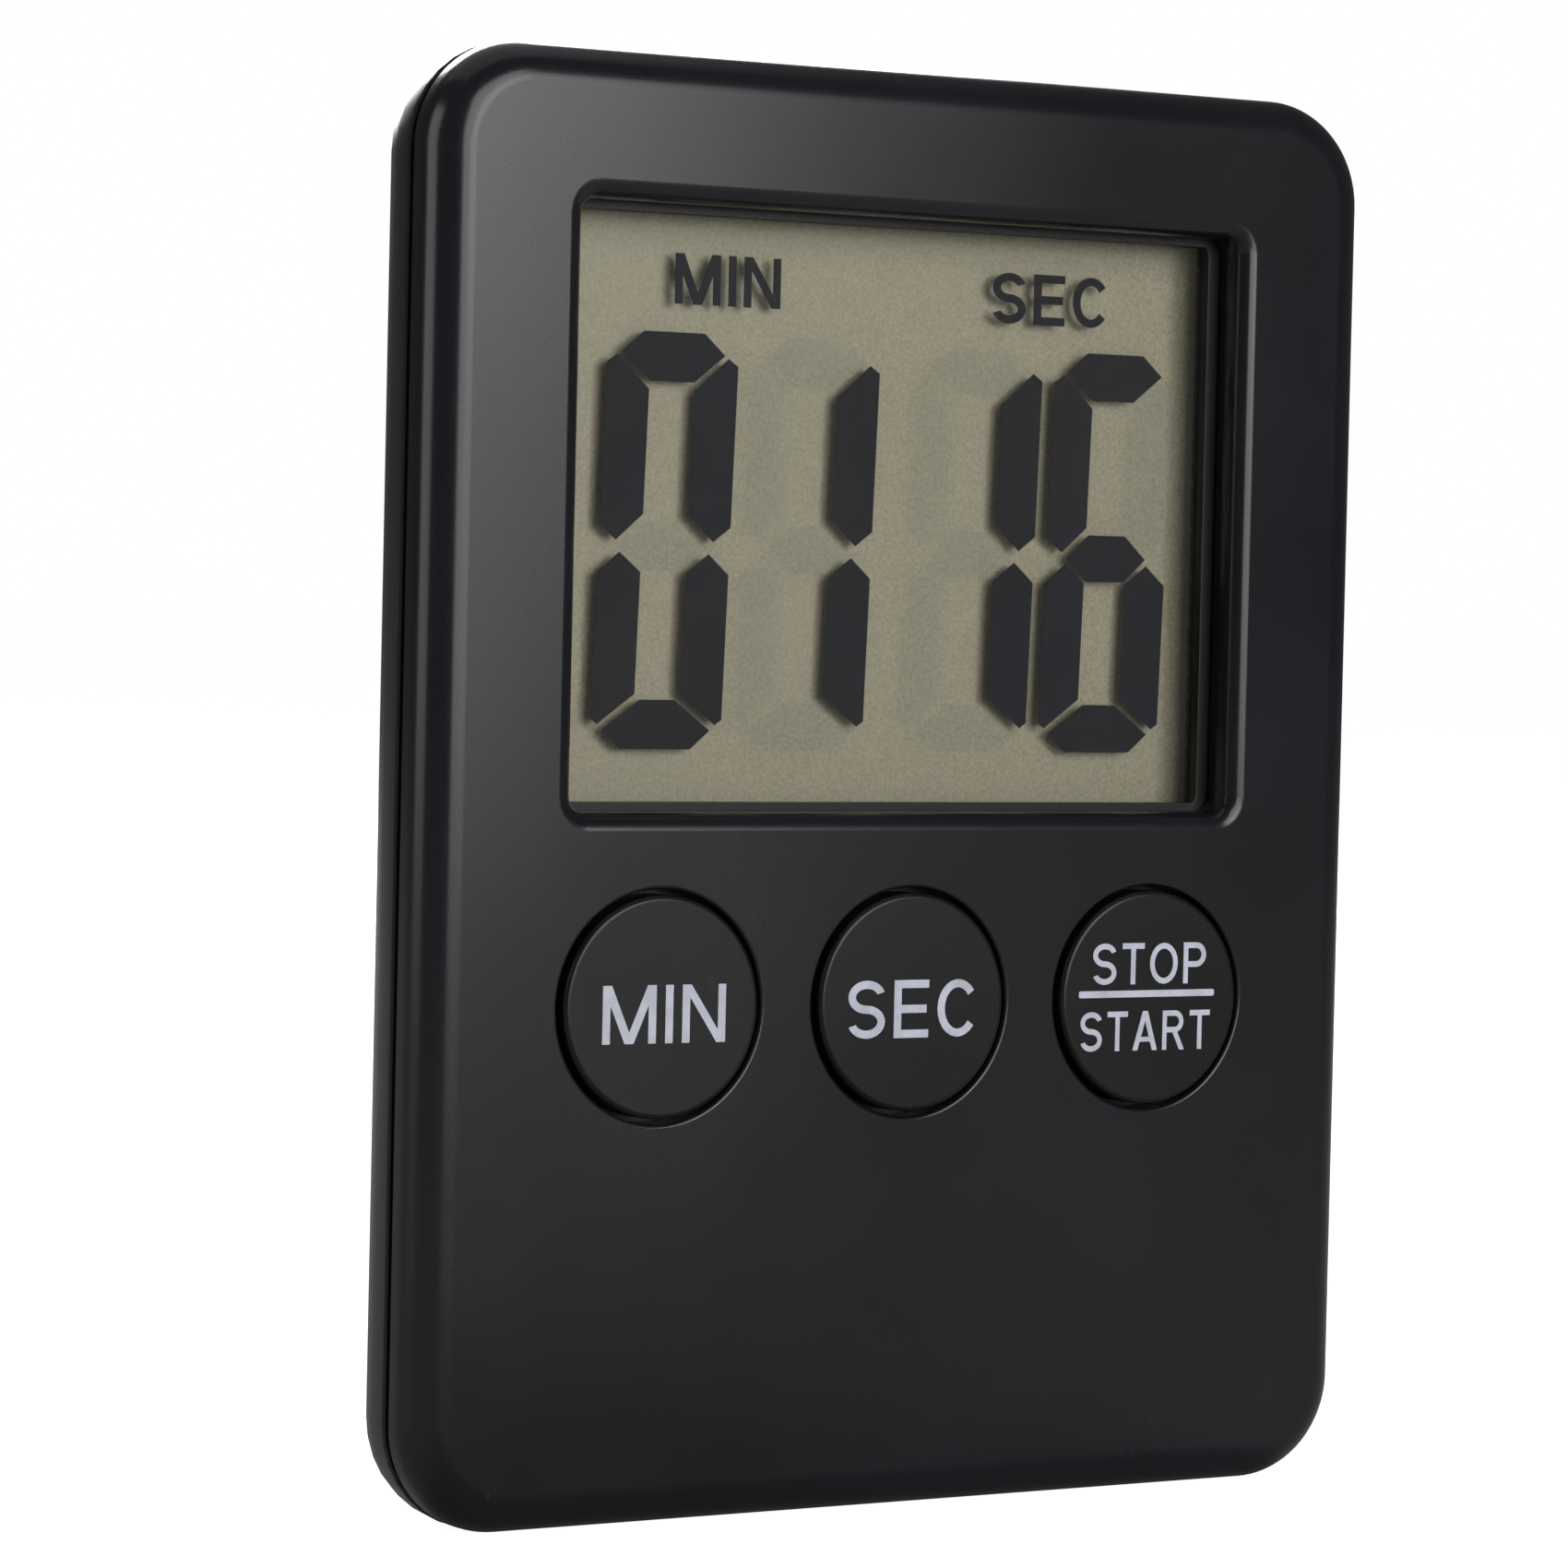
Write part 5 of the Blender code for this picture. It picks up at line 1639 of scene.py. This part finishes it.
@dataclass(frozen=True)
class Softbox:
    """One soft area light: where it stands, where it points, its size and its power."""

    name: str
    place: tuple[float, float, float]
    target: tuple[float, float, float]
    size: Pair
    power: float
    colour: Colour = (1.0, 1.0, 1.0)

    def build(self) -> None:
        """Makes the light."""
        data = bpy.data.lights.new(self.name, "AREA")
        data.shape = "RECTANGLE"
        data.size, data.size_y = self.size
        data.energy = self.power
        data.color = self.colour
        lamp = bpy.data.objects.new(self.name, data)
        lamp.location = self.place
        aim = Vector(self.target) - lamp.location
        lamp.rotation_euler = aim.to_track_quat("-Z", "Y").to_euler()
        bpy.context.scene.collection.objects.link(lamp)


@dataclass
class Studio:
    """Pale floor, white surroundings, soft lights and the camera."""

    floor_size: float = 60.0
    lens: float = 131.02
    sensor: float = 36.0
    stand_off: tuple[float, float, float] = (-169.014 * MM, -259.787 * MM, 21.213 * MM)
    tilt: float = math.radians(88.242)
    lean: float = math.radians(-1.272)
    turn: float = math.radians(-31.694)
    transparent_bounces: int = 32

    SOFTBOXES: ClassVar[tuple[Softbox, ...]] = (
        Softbox("front_softbox", (0.079, -0.60, 0.25), (0.079, 0.0, 0.25), (0.457, 0.48), 2.8),
        Softbox("upper_softbox", (0.317, -0.60, 0.2), (0.317, 0.0, 0.2), (0.035, 0.2), 0.16),
        Softbox("key_softbox", (0.20, -0.62, 0.2), (0.0, 0.0, 0.05), (0.2, 0.2), 0.35),
        Softbox("top_softbox", (0.0, 0.25, 1.1), (0.0, 0.1, 0.0), (1.2, 1.2), 2.0),
        Softbox("left_softbox", (-0.9, 0.15, 0.3), (0.0, 0.0, 0.04), (0.5, 0.7), 2.4),
        Softbox("rear_softbox", (0.3, 0.9, 0.5), (0.0, 0.0, 0.04), (0.6, 0.6), 10.0),
    )

    def surroundings(self) -> None:
        """White for the eye, dim for the light that it gives."""
        scene = bpy.context.scene
        world = bpy.data.worlds.new("surroundings")
        scene.world = world
        world.use_nodes = True
        graph = Graph(world.node_tree)
        world.node_tree.nodes.clear()
        seen = graph.add("ShaderNodeLightPath").outputs["Is Camera Ray"]
        strength = graph.span(seen, FULL, (0.09, 1.0))
        inputs = {"Color": (1.0, 1.0, 1.0, 1.0), "Strength": strength}
        glow = graph.add("ShaderNodeBackground", inputs)
        graph.add("ShaderNodeOutputWorld", {"Surface": glow.outputs[0]})

    def floor(self) -> None:
        """A wide pale floor with a faint change of tone."""
        edit = bmesh.new()
        half = self.floor_size / 2
        corners = ((-half, -half), (half, -half), (half, half), (-half, half))
        edit.faces.new([edit.verts.new((x, y, 0.0)) for x, y in corners])
        piece = linked(edit, "floor")
        finish = Finish("floor_paper")
        graph = finish.graph
        grain = finish.effect(EFFECTS.grain, Scale=1500.0, Drift=2.0)
        paper = graph.blend(grain.outputs["Tone"], opaque((0.36,) * 3), opaque((0.4,) * 3))
        seen = graph.add("ShaderNodeLightPath").outputs["Is Camera Ray"]
        finish.set(Base_Color=paper, Roughness=0.9, Specular_IOR_Level=0.1)
        lift = graph.span(seen, FULL, (0.0, 0.96))
        finish.set(Emission_Color=opaque((1.0, 1.0, 1.0)), Emission_Strength=lift)
        piece.data.materials.append(finish.material)
        piece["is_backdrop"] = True

    def camera(self) -> None:
        """The camera, a little left of and above the buttons."""
        data = bpy.data.cameras.new("camera")
        data.lens = self.lens
        data.sensor_width = self.sensor
        eye = bpy.data.objects.new("camera", data)
        low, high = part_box("button_sec")
        middle = Vector((0.0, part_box("front_shell")[0].y, (low.z + high.z) / 2))
        eye.location = middle + Vector(self.stand_off)
        eye.rotation_euler = Euler((self.tilt, self.lean, self.turn))
        bpy.context.scene.collection.objects.link(eye)
        bpy.context.scene.camera = eye

    def build(self) -> None:
        """Makes the studio."""
        scene = bpy.context.scene
        scene.view_settings.view_transform = "Standard"
        scene.view_settings.look = "None"
        scene.cycles.transparent_max_bounces = self.transparent_bounces
        self.surroundings()
        self.floor()
        for softbox in self.SOFTBOXES:
            softbox.build()
        self.camera()


def main() -> None:
    """Builds every piece."""
    logging.basicConfig(level=logging.INFO, format="%(name)s: %(message)s")
    case = MouldedPlastic("case_black").build()
    rear = MouldedPlastic("rear_black", (0.015, 0.015, 0.0175), 0.3, 0.36, 0.14, 0.2).build()
    cap = MouldedPlastic("cap_black", (0.0065, 0.0065, 0.0075), 0.3, 0.3, 0.08, 0.12).build()
    ink = PrintedInk("legend_ink").build()
    FrontShell().build(row_tree(), case)
    RearShell().build(rear)
    union = union_tree()
    Buttons().build(union, cap, ink)
    Display().build(digits_tree(), union)
    Fittings().build()
    Studio().build()
    boxes = {"cad": CAD_BOUNDS, "visual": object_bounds()}
    {name: [list(corner) for corner in pair] for name, pair in boxes.items()}


if __name__ == "__main__":
    main()
